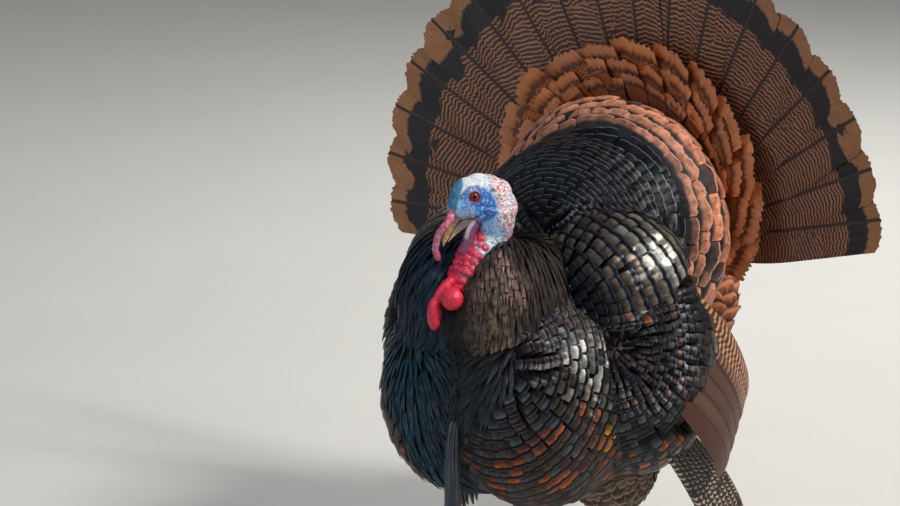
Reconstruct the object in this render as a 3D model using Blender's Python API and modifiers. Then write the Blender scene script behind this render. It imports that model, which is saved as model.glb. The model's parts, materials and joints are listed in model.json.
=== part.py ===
"""A wild turkey gobbler in full strut, life size, as a still museum model.

Metres, +Z up. The bird faces -Y, its left side is +X, and it stands on the floor at z = 0.
The flesh is fused from ellipsoid lobes, one for each puffed mass of plumage, and then parted
with thin cuts into the pieces that a person would name. Quills, bill, beard and claws are
pieces of their own, each cut clear of its neighbours by the same small gap.
"""

import math

import bmesh
import bpy
from mathutils import Matrix, Vector

GAP = 0.0005  # clearance left between neighbouring pieces

# Plumage masses: centre, then half-lengths along X, Y and Z.
CORE = ((0.0, 0.055, 0.315), (0.150, 0.200, 0.165))
VENT = ((0.0, 0.185, 0.285), (0.105, 0.075, 0.105))
MANTLE = ((0.0, 0.070, 0.430), (0.130, 0.140, 0.138))
RUMP = ((0.0, 0.160, 0.445), (0.160, 0.092, 0.155))
BREAST = ((0.052, -0.070, 0.275), (0.112, 0.138, 0.142))
# The neck is turned, so the hackles and shoulders differ: the left side's, then the right's.
HACKLES = {
    1: ((0.030, -0.114, 0.402), (0.068, 0.083, 0.086)),
    -1: ((0.047, -0.110, 0.397), (0.080, 0.090, 0.092)),
}
SHOULDERS = {
    1: ((0.105, 0.005, 0.415), (0.094, 0.092, 0.084)),
    -1: ((0.094, 0.002, 0.404), (0.094, 0.092, 0.084)),
}
WING = ((0.136, 0.014, 0.302), (0.092, 0.110, 0.130))
THIGH = ((0.075, 0.052, 0.170), (0.048, 0.062, 0.070))

# Tail: a shallow cone of quills cupped forward, rolled a little to the bird's right.
FAN_APEX = Vector((0.0, 0.268, 0.393))
FAN_RADIUS = 0.438
FAN_HALF_SPAN = math.radians(86)
FAN_ROLL = math.radians(-6)
FAN_CUP = math.radians(9)
FAN_SIDE_DROP = 0.125  # how much shorter the outermost quills are
QUILLS = 18

# Head: turned to the bird's right, bill down.
HEAD_AT = Vector((0.010, -0.150, 0.535))
HEAD_TURN = (
    Matrix.Rotation(math.radians(-36), 3, "Z")
    @ Matrix.Rotation(math.radians(33), 3, "X")
    @ Matrix.Rotation(math.radians(-8), 3, "Y")
)
EYE_AT = Vector((0.0128, -0.0072, 0.0139))  # in the head's own frame, bill along -Y
EYE_RADIUS = 0.0072

ANKLE = Vector((0.078, 0.092, 0.162))
SOLE = Vector((0.086, 0.048, 0.0))
SHANK_FOOT = 0.0105  # height of the shank's lower end
TOES = (  # name, heading in degrees, length and half-thickness
    ("middle", 3, 0.088, 0.0078),
    ("inner", -33, 0.066, 0.0070),
    ("outer", 38, 0.070, 0.0070),
    ("hind", 172, 0.036, 0.0060),
)

BRONZE = (0.060, 0.038, 0.024)
BLACK = (0.018, 0.017, 0.018)
CHESTNUT = (0.380, 0.130, 0.040)
BARRED = (0.140, 0.070, 0.035)
BROWN = (0.120, 0.070, 0.045)
BLUE_SKIN = (0.150, 0.330, 0.620)
RED_SKIN = (0.620, 0.080, 0.090)
HORN = (0.420, 0.330, 0.240)
LEG_SKIN = (0.450, 0.230, 0.190)


# ---------------------------------------------------------------- helpers


def clear_scene():
    for obj in list(bpy.data.objects):
        bpy.data.objects.remove(obj)


def material(name, colour, roughness=0.6, metallic=0.0):
    made = bpy.data.materials.new(name)
    made.use_nodes = True
    shader = made.node_tree.nodes["Principled BSDF"]
    shader.inputs["Base Color"].default_value = (*colour, 1.0)
    shader.inputs["Roughness"].default_value = roughness
    shader.inputs["Metallic"].default_value = metallic
    return made


def add(name, mesh):
    obj = bpy.data.objects.new(name, mesh)
    PARTS.objects.link(obj)
    return obj


def baked(obj, name=None):
    """The object's evaluated shape as a plain mesh object. The one it came from is removed."""
    bpy.context.view_layer.update()
    graph = bpy.context.evaluated_depsgraph_get()
    mesh = bpy.data.meshes.new_from_object(obj.evaluated_get(graph))
    mesh.transform(obj.matrix_world)
    work = bmesh.new()
    work.from_mesh(mesh)
    bmesh.ops.remove_doubles(work, verts=work.verts, dist=1e-5)
    work.to_mesh(mesh)
    work.free()
    name = name or obj.name
    bpy.data.objects.remove(obj)
    return add(name, mesh)


def ellipsoid(name, lobe, side=1, grow=0.0, rings=12):
    centre, radii = lobe
    work = bmesh.new()
    bmesh.ops.create_uvsphere(work, u_segments=2 * rings, v_segments=rings, radius=1.0)
    place = Matrix.Translation((side * centre[0], centre[1], centre[2]))
    size = Matrix.Diagonal([r + grow for r in radii]).to_4x4()
    work.transform(place @ size)
    mesh = bpy.data.meshes.new(name)
    work.to_mesh(mesh)
    work.free()
    return add(name, mesh)


def tube(name, points, radii, sides=8):
    """A rod of round section along the points, with a radius at each."""
    curve = bpy.data.curves.new(name, "CURVE")
    curve.dimensions = "3D"
    curve.bevel_depth = 1.0
    curve.bevel_resolution = sides // 2 - 2
    curve.use_fill_caps = True
    line = curve.splines.new("POLY")
    line.points.add(len(points) - 1)
    for point, at, radius in zip(line.points, points, radii):
        point.co = (*at, 1.0)
        point.radius = radius
    return baked(add(name, curve))


def smooth_line(anchors, count):
    """Points along a Catmull-Rom curve through the anchors, each a tuple of numbers."""
    rows = [Vector(a) for a in anchors]
    rows = [2 * rows[0] - rows[1], *rows, 2 * rows[-1] - rows[-2]]
    spans = len(rows) - 3
    found = []
    for i in range(count):
        at = i / (count - 1) * spans
        k = min(int(at), spans - 1)
        t = at - k
        a, b, c, d = rows[k : k + 4]
        found.append(
            0.5
            * (
                2 * b
                + (c - a) * t
                + (2 * a - 5 * b + 4 * c - d) * t * t
                + (3 * b - a - 3 * c + d) * t**3
            )
        )
    return found


def sheet(name, columns, rows, place, thickness):
    """A grid whose corners place(u, v) sets, given a thickness behind it."""
    work = bmesh.new()
    bmesh.ops.create_grid(work, x_segments=columns, y_segments=rows, size=0.5)
    for vert in work.verts:
        vert.co = place(vert.co.x + 0.5, vert.co.y + 0.5)
    mesh = bpy.data.meshes.new(name)
    work.to_mesh(mesh)
    work.free()
    obj = add(name, mesh)
    shell = obj.modifiers.new("thickness", "SOLIDIFY")
    shell.thickness = thickness
    shell.offset = 0.0
    return baked(obj)


def fused(name, pieces, voxel, soften, faces):
    """One closed body from overlapping pieces, its joins softened, at about that many triangles."""
    work = bmesh.new()
    for piece in pieces:
        work.from_mesh(piece.data)
        bpy.data.objects.remove(piece)
    mesh = bpy.data.meshes.new(name)
    work.to_mesh(mesh)
    work.free()
    obj = add(name, mesh)
    remesh = obj.modifiers.new("fuse", "REMESH")
    remesh.mode = "VOXEL"
    remesh.voxel_size = voxel
    smooth = obj.modifiers.new("soften", "SMOOTH")
    smooth.iterations = soften
    smooth.factor = 0.5
    triangles = obj.modifiers.new("triangles", "TRIANGULATE")
    triangles.quad_method = "FIXED"
    obj = baked(obj)
    reduce = obj.modifiers.new("reduce", "DECIMATE")
    reduce.ratio = min(1.0, faces / len(obj.data.polygons))
    return baked(obj)


def boolean(target, other, operation):
    cut = target.modifiers.new(operation.lower(), "BOOLEAN")
    cut.operation = operation
    cut.solver = "EXACT"
    cut.object = other
    return baked(target)


def carve(target, *others, gap=GAP):
    """Cuts the target back so that it clears each of the other pieces by the gap."""
    for other in others:
        mould = add("mould", other.data.copy())
        swell = mould.modifiers.new("swell", "DISPLACE")
        swell.strength = gap
        swell.mid_level = 0.0
        mould = baked(mould, "mould")
        target = boolean(target, mould, "DIFFERENCE")
        bpy.data.objects.remove(mould)
    return keep_largest(target)


def part_off(whole, name, lobe, side=1):
    """Parts the whole at the lobe's surface: returns what lies inside it, and the rest."""
    inner = ellipsoid("inner", lobe, side, rings=8)
    outer = ellipsoid("outer", lobe, side, grow=GAP, rings=8)
    piece = boolean(add(name, whole.data.copy()), inner, "INTERSECT")
    whole = boolean(whole, outer, "DIFFERENCE")
    bpy.data.objects.remove(inner)
    bpy.data.objects.remove(outer)
    return keep_largest(piece), keep_largest(whole)


def keep_largest(obj):
    """Drops crumbs that a cut left beside the main body, also where they still touch it."""
    work = bmesh.new()
    work.from_mesh(obj.data)
    left, groups = set(work.faces), []
    while left:
        stack, group = [left.pop()], []
        while stack:
            face = stack.pop()
            group.append(face)
            for edge in face.edges:
                if len(edge.link_faces) == 2:
                    fresh = left.intersection(edge.link_faces)
                    left -= fresh
                    stack.extend(fresh)
        groups.append(group)
    groups.sort(key=lambda group: sum(face.calc_area() for face in group), reverse=True)
    for group in groups[1:]:
        bmesh.ops.delete(work, geom=group, context="FACES")
    work.to_mesh(obj.data)
    work.free()
    return obj


def finish(obj, made, angle=50):
    obj.data.materials.clear()
    obj.data.materials.append(made)
    obj.data.shade_smooth()
    obj.data.set_sharp_from_angle(angle=math.radians(angle))
    return obj


def mirrored(point, side):
    return Vector((side * point[0], point[1], point[2]))


def in_head(point):
    return HEAD_AT + HEAD_TURN @ Vector(point)


# ---------------------------------------------------------------- body


def make_flesh():
    """The puffed body whole, then its shoulders, wings, thighs, breast and rump parted off."""
    lobes = [ellipsoid("lobe", lobe) for lobe in (CORE, VENT, MANTLE, RUMP)]
    for side in (1, -1):
        for lobe in (BREAST, HACKLES[side], SHOULDERS[side], WING, THIGH):
            lobes.append(ellipsoid("lobe", lobe, side))
    whole = fused("trunk", lobes, voxel=0.006, soften=4, faces=1000)
    pieces = {}
    for word, side in (("left", 1), ("right", -1)):
        for name, lobe, margin in (
            ("wing", WING, 0.006),
            ("shoulder", SHOULDERS[side], 0.006),
            ("thigh", THIGH, 0.005),
        ):
            centre, radii = lobe
            wider = (centre, [r + margin for r in radii])
            pieces[f"{name}_{word}"], whole = part_off(whole, f"{name}_{word}", wider, side)
    centre, radii = RUMP
    pieces["rump"], whole = part_off(whole, "rump", (centre, [r + 0.007 for r in radii]))
    pieces["trunk"] = whole
    return pieces


def make_neck():
    """The bare neck, from the skull's back down and forward to the collar of feathers."""
    line = smooth_line(
        [
            in_head((0.0, 0.014, -0.012)),
            (0.011, -0.133, 0.488),
            (0.004, -0.159, 0.458),
            (-0.003, -0.172, 0.425),
            (-0.002, -0.150, 0.385),
        ],
        10,
    )
    radii = [0.0265 - 0.0085 * (i / 9) ** 1.2 for i in range(10)]
    return tube("neck", line, radii, sides=10)


def make_head():
    """Skull, cheeks, brow and jaw in the head's own frame, fused and set in place."""
    lobes = [
        ((0.0, 0.008, 0.006), (0.0205, 0.0310, 0.0265)),
        ((0.0, -0.016, 0.012), (0.0185, 0.0225, 0.0225)),
        ((0.0, -0.025, -0.002), (0.0115, 0.0165, 0.0110)),
        ((0.0, -0.004, -0.012), (0.0150, 0.0250, 0.0120)),
        ((0.0, 0.018, -0.016), (0.0195, 0.0215, 0.0250)),
    ]
    head = fused("head", [ellipsoid("lobe", lobe) for lobe in lobes], 0.0016, 3, 300)
    head.data.transform(Matrix.Translation(HEAD_AT) @ HEAD_TURN.to_4x4())
    return head


def make_bill():
    """Upper bill, hooked over the lower one."""
    ridge = ((0, -0.024, 0.0), (0, -0.043, -0.0010), (0, -0.059, -0.0060), (0, -0.0705, -0.0165))
    jaw = ((0, -0.020, -0.0125), (0, -0.042, -0.0125), (0, -0.0605, -0.0165))
    upper_radii = [0.0086 * (1 - (i / 9) ** 1.7) + 0.0007 for i in range(10)]
    lower_radii = [0.0058 * (1 - (i / 7) ** 1.8) + 0.0007 for i in range(8)]
    top = tube("bill_upper", smooth_line([in_head(p) for p in ridge], 10), upper_radii, sides=10)
    under = tube("bill_lower", smooth_line([in_head(p) for p in jaw], 8), lower_radii, sides=8)
    return top, carve(under, top)


def make_snood():
    """The fleshy finger that grows from the brow and hangs over the bill to one side."""
    line = smooth_line(
        [
            in_head((0.0, -0.026, 0.0120)),
            (-0.0095, -0.1915, 0.5170),
            (-0.0205, -0.1998, 0.4990),
            (-0.0262, -0.1995, 0.4800),
            (-0.0272, -0.1930, 0.4640),
        ],
        14,
    )
    radii = [0.0054 - 0.0016 * (i / 13) + 0.0005 * math.sin(9 * i / 13) for i in range(13)] + [0.0018]
    return tube("snood", line, radii, sides=8)


def make_caruncles():
    """The heavy lobes at the throat's foot: a large round one, and a long one beside it."""
    bulbs = (
        ("caruncle_left", ((0.001, -0.2030, 0.4195), (0.0150, 0.0130, 0.0150))),
        ("caruncle_right", ((-0.0195, -0.2120, 0.3990), (0.0088, 0.0092, 0.0215))),
    )
    return [ellipsoid(name, lobe, rings=7) for name, lobe in bulbs]


def make_beard():
    """The stiff tuft of bristles that hangs from the middle of the breast."""
    fall = (
        (0.0, -0.172, 0.284),
        (0.001, -0.195, 0.264),
        (0.003, -0.206, 0.220),
        (0.004, -0.207, 0.150),
        (0.004, -0.203, 0.055),
    )
    line = smooth_line(fall, 12)
    radii = [0.0060 + 0.0085 * math.sin(0.75 * math.pi * i / 11) for i in range(11)] + [0.0050]
    return tube("beard", line, radii, sides=8)


# ---------------------------------------------------------------- tail


def fan_point(angle, radius, lift=0.0):
    """A point of the tail cone at an angle from upright, towards the bird's left."""
    turn = angle + FAN_ROLL
    reach = radius * math.cos(FAN_CUP)
    ahead = radius * math.sin(FAN_CUP) + lift
    return FAN_APEX + Vector((reach * math.sin(turn), -ahead, reach * math.cos(turn)))


def quill_reach(share):
    """Length of the tail at share 0 to 1 across it: rounded quill tips, shorter at the sides."""
    angle = (2 * share - 1) * FAN_HALF_SPAN
    across = (share * QUILLS) % 1.0 * 2 - 1 if share < 1 else 1.0
    tip = 1 - 0.045 * abs(across) ** 2.2
    return FAN_RADIUS * (1 - FAN_SIDE_DROP * (2 * angle / math.pi) ** 2) * tip


def make_fan():
    """Eighteen broad quills side by side, each one lapping the next like a hand fan."""
    def place(u, v):
        near = 0.045 + (quill_reach(u) - 0.045) * v
        lap = ((u * QUILLS) % 1.0 - 0.5) * 0.005 * v
        return fan_point((2 * u - 1) * FAN_HALF_SPAN, near, lap)

    return sheet("tail_fan", QUILLS * 3, 1, place, 0.0022)


def make_coverts():
    """The ring of chestnut feathers that stands in front of the tail, and its puff below."""
    ring_at = Vector((-0.003, 0.225, 0.484))
    count = 15

    def place(u, v):
        angle = (2 * u - 1) * math.radians(112)
        frill = 1 - 0.09 * abs(math.sin(math.pi * count * u)) ** 0.7
        reach = (0.085 + (0.193 * frill - 0.085) * v) * (1 + 0.10 * math.sin(angle) ** 2)
        back = 0.005 * math.sin(2 * math.pi * count * u) * v
        return ring_at + Vector((reach * math.sin(angle), back - 0.026 * v, reach * math.cos(angle)))

    upper = sheet("tail_coverts_upper", count * 3, 1, place, 0.008)
    under = ellipsoid("tail_coverts_under", ((0.0, 0.280, 0.335), (0.104, 0.050, 0.105)), rings=7)
    return upper, under


# ---------------------------------------------------------------- wings


def wing_blade(name, side, root, tip, columns, bulge, thickness):
    """A panel of long quills between a root line and a scalloped line of tips."""
    def place(u, v):
        across = (u * columns) % 1.0 * 2 - 1 if u < 1 else 1.0
        a = root[0].lerp(root[1], u)
        b = tip[0].lerp(tip[1], u)
        point = a.lerp(b, v * (1 - 0.07 * abs(across) ** 2))
        point.x += bulge * math.sin(math.pi * min(1.0, 0.15 + 0.7 * v)) * (1 - 0.3 * u)
        return mirrored(point, side)

    return sheet(name, columns * 3, 2, place, thickness)


def make_wing_quills(side, word):
    secondaries = wing_blade(
        f"secondaries_{word}",
        side,
        (Vector((0.192, -0.030, 0.275)), Vector((0.168, 0.060, 0.410))),
        (Vector((0.206, 0.060, 0.158)), Vector((0.194, 0.158, 0.262))),
        8,
        0.024,
        0.006,
    )
    primaries = wing_blade(
        f"primaries_{word}",
        side,
        (Vector((0.188, -0.052, 0.250)), Vector((0.190, 0.060, 0.215))),
        (Vector((0.200, 0.118, 0.012)), Vector((0.196, 0.180, 0.046))),
        7,
        0.008,
        0.005,
    )
    return secondaries, primaries


# ---------------------------------------------------------------- legs


def toe(side, heading, length, thick):
    """A toe along the floor from the foot's middle, and where it ends and points."""
    away = Vector((side * math.sin(heading), -math.cos(heading), 0.0))
    foot = mirrored(SOLE, side)
    stops = ((0.0, 1.20), (0.3, 0.92), (0.62, 1.0), (0.9, 0.86), (1.0, 0.60))
    line = [foot + away * (length * t) + Vector((0, 0, 0.8 * thick * share)) for t, share in stops]
    return tube("toe", line, [thick * share for _, share in stops]), foot + away * length, away


def level(obj):
    """Cuts off whatever lies below the floor, so that the piece stands on a flat."""
    work = bmesh.new()
    work.from_mesh(obj.data)
    geometry = [*work.verts, *work.edges, *work.faces]
    cut = bmesh.ops.bisect_plane(
        work, geom=geometry, plane_co=(0, 0, 0), plane_no=(0, 0, -1), clear_outer=True
    )
    rim = [e for e in cut["geom_cut"] if isinstance(e, bmesh.types.BMEdge)]
    if rim:
        bmesh.ops.holes_fill(work, edges=rim)
    bmesh.ops.recalc_face_normals(work, faces=work.faces)
    work.to_mesh(obj.data)
    work.free()
    return obj


def make_leg(side, word):
    """Shank with its spur, four toes and their claws."""
    ankle, foot = mirrored(ANKLE, side), mirrored(SOLE, side)
    shin = [
        ankle + Vector((0, -0.010, 0.024)),
        ankle,
        ankle.lerp(foot, 0.35),
        ankle.lerp(foot, 0.75),
        foot + Vector((0, 0.002, SHANK_FOOT + 0.010)),
        foot + Vector((0, 0, SHANK_FOOT)),
    ]
    shank = tube(f"shank_{word}", shin, [0.0110, 0.0118, 0.0082, 0.0080, 0.0105, 0.0100], sides=10)
    spur_root = ankle.lerp(foot, 0.62)
    back = Vector((0, 1, -0.1))
    curl = ((0.003, 0.0), (0.014, 0.0005), (0.026, 0.005))
    spur_line = [spur_root + back * out + Vector((0, 0, rise)) for out, rise in curl]
    spur = carve(tube(f"spur_{word}", spur_line, [0.0052, 0.0034, 0.0007], sides=8), shank)
    toes, claws = [], []
    for name, heading, length, thick in TOES:
        piece, tip, away = toe(side, math.radians(heading), length, thick)
        toes.append(piece)
        hook = ((-0.004, 0.0056), (0.006, 0.0060), (0.015, 0.0016))
        line = [tip + away * out + Vector((0, 0, height)) for out, height in hook]
        claws.append(tube(f"claw_{name}_{word}", line, [0.0040, 0.0034, 0.0008], sides=6))
    foot = carve(level(fused(f"foot_{word}", toes, 0.0014, 2, 260)), shank)
    return [shank, spur, foot, *(carve(claw, foot) for claw in claws)]


# ---------------------------------------------------------------- assembly


def build():
    bronze = material("bronze_feather", BRONZE, 0.38, 0.3)
    black = material("black_feather", BLACK, 0.45)
    chestnut = material("chestnut_feather", CHESTNUT, 0.6)
    barred = material("barred_feather", BARRED, 0.6)
    brown = material("brown_quill", BROWN, 0.5)
    blue = material("blue_skin", BLUE_SKIN, 0.5)
    red = material("red_skin", RED_SKIN, 0.4)
    horn = material("horn", HORN, 0.4)
    leg_skin = material("leg_skin", LEG_SKIN, 0.5)
    eye_black = material("eye", (0.05, 0.02, 0.015), 0.1)

    flesh = make_flesh()
    head = make_head()
    bill_upper, bill_lower = make_bill()
    eyes = [
        ellipsoid(f"eye_{word}", (in_head((side * EYE_AT.x, EYE_AT.y, EYE_AT.z)), [EYE_RADIUS] * 3), rings=6)
        for word, side in (("left", 1), ("right", -1))
    ]
    snood = make_snood()
    snood = carve(snood, bill_upper)
    head = carve(head, bill_upper, bill_lower, snood, *eyes)
    neck = carve(make_neck(), head, bill_lower, bill_upper)
    caruncles = make_caruncles()
    caruncles[1] = carve(caruncles[1], caruncles[0])
    neck = carve(neck, *caruncles)
    beard = make_beard()
    flesh["trunk"] = carve(flesh["trunk"], neck, *caruncles, beard)

    fan = make_fan()
    upper, under = make_coverts()
    under = carve(under, flesh["trunk"], flesh["rump"])
    fan = carve(fan, flesh["trunk"], flesh["rump"], under)
    upper = carve(upper, flesh["rump"], fan)

    for piece in (head, neck):
        finish(piece, blue)
    for piece in (bill_upper, bill_lower):
        finish(piece, horn)
    for piece in eyes:
        finish(piece, eye_black)
    for piece in (snood, *caruncles):
        finish(piece, red)
    finish(beard, black)
    finish(fan, barred, 30)
    finish(upper, chestnut, 30)
    finish(under, chestnut)

    for side, word in ((1, "left"), (-1, "right")):
        secondaries, primaries = make_wing_quills(side, word)
        bodies = [flesh["trunk"], flesh["rump"]]
        bodies += [flesh[f"{part}_{word}"] for part in ("wing", "shoulder", "thigh")]
        secondaries = carve(secondaries, *bodies)
        primaries = carve(primaries, *bodies, secondaries)
        finish(secondaries, brown)
        finish(primaries, barred)
        made = make_leg(side, word)
        for name in (f"thigh_{word}", f"wing_{word}", "trunk"):
            flesh[name] = carve(flesh[name], made[0])
        for piece in made:
            finish(piece, horn if piece.name.startswith(("claw", "spur")) else leg_skin)

    for name, piece in flesh.items():
        finish(piece, black if name in ("trunk", "rump") else bronze)


def centre():
    """Moves the whole along the floor until the middle of its box stands over the origin."""
    points = [vert.co for obj in PARTS.objects for vert in obj.data.vertices]
    spans = [[co[axis] for co in points] for axis in (0, 1)]
    away = [-(min(span) + max(span)) / 2 for span in spans]
    for obj in PARTS.objects:
        obj.data.transform(Matrix.Translation((*away, 0.0)))


clear_scene()
PARTS = bpy.data.collections.new("strutting_wild_turkey")
bpy.context.scene.collection.children.link(PARTS)
build()
centre()
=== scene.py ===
"""A wild turkey gobbler in full strut: its feathers, bare skin, horn and eyes.

Metres, +Z up. Shapes are worked out in the bird's own frame, where it faces -Y and its left side
is +X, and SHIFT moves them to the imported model's place. Every feather is a thin closed vane laid
on one of the body's puffed lobes, on the tail's shallow cone or on a wing panel, with its tip
over the roots of the next row.
"""

import json
import math
from dataclasses import dataclass

import bmesh
import bpy
import numpy as np
from mathutils import Matrix, Vector

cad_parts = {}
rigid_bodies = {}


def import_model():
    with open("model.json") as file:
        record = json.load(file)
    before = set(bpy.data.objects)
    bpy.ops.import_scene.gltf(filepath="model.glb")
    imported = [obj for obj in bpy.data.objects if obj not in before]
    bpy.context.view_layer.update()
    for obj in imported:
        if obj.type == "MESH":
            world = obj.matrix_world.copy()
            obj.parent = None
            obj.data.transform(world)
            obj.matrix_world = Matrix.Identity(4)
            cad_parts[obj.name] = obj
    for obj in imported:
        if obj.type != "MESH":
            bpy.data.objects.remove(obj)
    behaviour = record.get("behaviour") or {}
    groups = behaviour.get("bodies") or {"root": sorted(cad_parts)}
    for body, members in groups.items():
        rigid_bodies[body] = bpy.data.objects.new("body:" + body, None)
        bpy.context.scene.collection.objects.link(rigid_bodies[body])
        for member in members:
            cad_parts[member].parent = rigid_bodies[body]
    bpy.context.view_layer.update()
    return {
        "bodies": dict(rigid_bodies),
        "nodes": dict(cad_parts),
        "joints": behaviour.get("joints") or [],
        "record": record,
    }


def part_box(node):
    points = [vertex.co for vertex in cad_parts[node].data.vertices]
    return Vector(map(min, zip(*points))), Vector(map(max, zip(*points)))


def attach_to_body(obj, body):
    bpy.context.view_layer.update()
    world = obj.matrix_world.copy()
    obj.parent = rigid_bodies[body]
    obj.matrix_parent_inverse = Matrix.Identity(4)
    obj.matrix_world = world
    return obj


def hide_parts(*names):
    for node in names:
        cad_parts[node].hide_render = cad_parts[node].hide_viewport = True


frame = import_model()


def single(centre, radii):
    """A lobe in the middle of the bird."""
    return {1: (centre, radii)}


def pair(left, right=None):
    """Lobes for both sides, each written as if on the left. Without a right one they match."""
    return {1: left, -1: right or left}


# Plumage lobes of the solids: centre, then half-lengths along X, Y and Z.
CORE = single((0.0, 0.055, 0.315), (0.150, 0.200, 0.165))
VENT = single((0.0, 0.185, 0.285), (0.105, 0.075, 0.105))
MANTLE = single((0.0, 0.070, 0.430), (0.130, 0.140, 0.138))
RUMP = single((0.0, 0.160, 0.445), (0.160, 0.092, 0.155))
BREAST = pair(((0.052, -0.070, 0.275), (0.112, 0.138, 0.142)))
HACKLE = pair(
    ((0.030, -0.114, 0.402), (0.068, 0.083, 0.086)), ((0.047, -0.110, 0.397), (0.080, 0.090, 0.092))
)
SHOULDER = pair(
    ((0.105, 0.005, 0.415), (0.094, 0.092, 0.084)), ((0.094, 0.002, 0.404), (0.094, 0.092, 0.084))
)
WING = pair(((0.136, 0.014, 0.302), (0.092, 0.110, 0.130)))
THIGH = pair(((0.075, 0.052, 0.170), (0.048, 0.062, 0.070)))
BACK = single((0.0, 0.105, 0.440), (0.150, 0.150, 0.155))  # one sweep over mantle and rump
UNDER = single((0.0, 0.280, 0.335), (0.104, 0.050, 0.105))
COAT = 0.011  # depth of the plumage over the skin
SIDES = (1, "left"), (-1, "right")

FAN_APEX = np.array((0.0, 0.268, 0.393))
FAN_RADIUS = 0.438
FAN_HALF_SPAN = math.radians(86)
FAN_ROLL = math.radians(-6)
FAN_CUP = math.radians(9)
FAN_SIDE_DROP = 0.125
QUILLS = 18
QUILL_ROOT = 0.045  # from the apex to where the vanes begin
FAN_INNER = 0.06  # nearer the apex than this, a vane gets no narrower
RING_AT = np.array((-0.003, 0.225, 0.484))
RING_HOLE = 0.06  # the coverts' roots stand this far out round RING_AT
RING_REACH = 0.193
RING_FOOT, RING_SPAN, RING_LEAN = 0.085, 0.108, 0.026  # beyond its foot it leans forward

HEAD_AT = Vector((0.010, -0.150, 0.535))
HEAD_TURN = (
    Matrix.Rotation(math.radians(-36), 3, "Z")
    @ Matrix.Rotation(math.radians(33), 3, "X")
    @ Matrix.Rotation(math.radians(-8), 3, "Y")
)
EYE_AT = Vector((0.0128, -0.0072, 0.0139))
EYE_RADIUS = 0.0072

ANKLE = Vector((0.078, 0.092, 0.162))
SOLE = Vector((0.086, 0.048, 0.0))
TOES = (  # name, heading in degrees outwards from ahead, length, thickness
    ("middle", 3, 0.088, 0.0078),
    ("inner", -33, 0.066, 0.0070),
    ("outer", 38, 0.070, 0.0070),
    ("hind", 172, 0.036, 0.0060),
)


def in_head(point):
    """A place in the head's own frame, in the bird's."""
    return HEAD_AT + HEAD_TURN @ Vector(point)


def mirrored(point, side):
    """A place or direction given for the left side, on the side asked for."""
    return Vector((side * point[0], point[1], point[2]))


def middle(node):
    lowest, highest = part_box(node)
    return (Vector(lowest) + Vector(highest)) / 2


SHIFT = np.array(middle("eye_left") - in_head(EYE_AT))


# ---------------------------------------------------------------- materials


class Shader:
    """A Principled material whose node tree is written as formulas."""

    MIX_A, MIX_B, MIX_RESULT = 6, 7, 2  # a Mix node's colour sockets
    OBJECT_PLACE = 3  # a Texture Coordinate node's socket
    NUMBER = 2  # an Attribute node's socket for one number

    def __init__(self, name, **sockets):
        self.made = bpy.data.materials.new(name)
        self.made.use_nodes = True
        self.tree = self.made.node_tree
        self.main = self.tree.nodes["Principled BSDF"]
        for key, value in sockets.items():
            self.feed(self.main.inputs[key.replace("_", " ").title().replace("Ior", "IOR")], value)

    def feed(self, socket, value):
        """Links a socket to another's output, or sets its own number or colour."""
        if isinstance(value, bpy.types.NodeSocket):
            self.tree.links.new(value, socket)
        elif socket.type == "RGBA" and not isinstance(value, float):
            socket.default_value = (*value, 1.0)[:4]
        else:
            socket.default_value = value

    def node(self, kind, feeds=(), out=0, **settings):
        made = self.tree.nodes.new("ShaderNode" + kind)
        for key, value in settings.items():
            setattr(made, key, value)
        for key, value in dict(feeds).items():
            self.feed(made.inputs[key], value)
        return made.outputs[out]

    def maths(self, operation, *values):
        return self.node("Math", enumerate(values), operation=operation)

    def times(self, a, b):
        return self.maths("MULTIPLY", a, b)

    def linear(self, value, slope, start):
        return self.maths("MULTIPLY_ADD", value, slope, start)

    def scaled(self, tone, share):
        return self.node("VectorMath", {0: tone, "Scale": share}, operation="SCALE")

    def blend(self, share, a, b):
        feeds = {"Factor": share, self.MIX_A: a, self.MIX_B: b}
        return self.node("Mix", feeds, self.MIX_RESULT, data_type="RGBA")

    def step(self, value, low, high, to=(0.0, 1.0)):
        feeds = {"Value": value, "From Min": low, "From Max": high, "To Min": to[0], "To Max": to[1]}
        return self.node("MapRange", feeds, interpolation_type="SMOOTHSTEP")

    def noise(self, scale, detail=2.0, rough=0.55):
        at = self.node("TexCoord", out=self.OBJECT_PLACE)
        feeds = {"Vector": at, "Scale": scale, "Detail": detail, "Roughness": rough}
        return self.node("TexNoise", feeds)

    def vane(self):
        """Across the feather from -1 to 1, and along it from root 0 to tip 1."""
        split = self.node("SeparateXYZ", {0: self.node("UVMap", uv_map="Feather")}).node
        return self.linear(split.outputs[0], 2.0, -1.0), split.outputs[1]

    def given(self, name, out=0):
        return self.node("Attribute", attribute_name=name, out=out)

    def wave(self, phase):
        """A wave from 0 to 1, once for each whole number of phase."""
        return self.linear(self.maths("SINE", self.times(phase, 2 * math.pi)), 0.5, 0.5)

    def bump(self, height, depth):
        feeds = {"Height": height, "Strength": 1.0, "Distance": depth}
        self.feed(self.main.inputs["Normal"], self.node("Bump", feeds))

    def colour(self, value):
        self.feed(self.main.inputs["Base Color"], value)
        return self.made


def barbs(shader, across, along, count, slant):
    """Fine oblique lines from the shaft to both margins, and each place's share of the way out."""
    away = shader.maths("ABSOLUTE", across)
    phase = shader.linear(away, -slant, shader.times(along, count))
    return shader.wave(shader.maths("ADD", phase, shader.noise(90.0, 1.0))), away


def wavy_bars(shader, away, along, count, bend, wander, sway):
    """Bars across the feather, count along it, bent back from the shaft and swayed by wander."""
    phase = shader.linear(away, -bend, shader.times(along, count))
    return shader.wave(shader.linear(wander, sway, phase))


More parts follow.
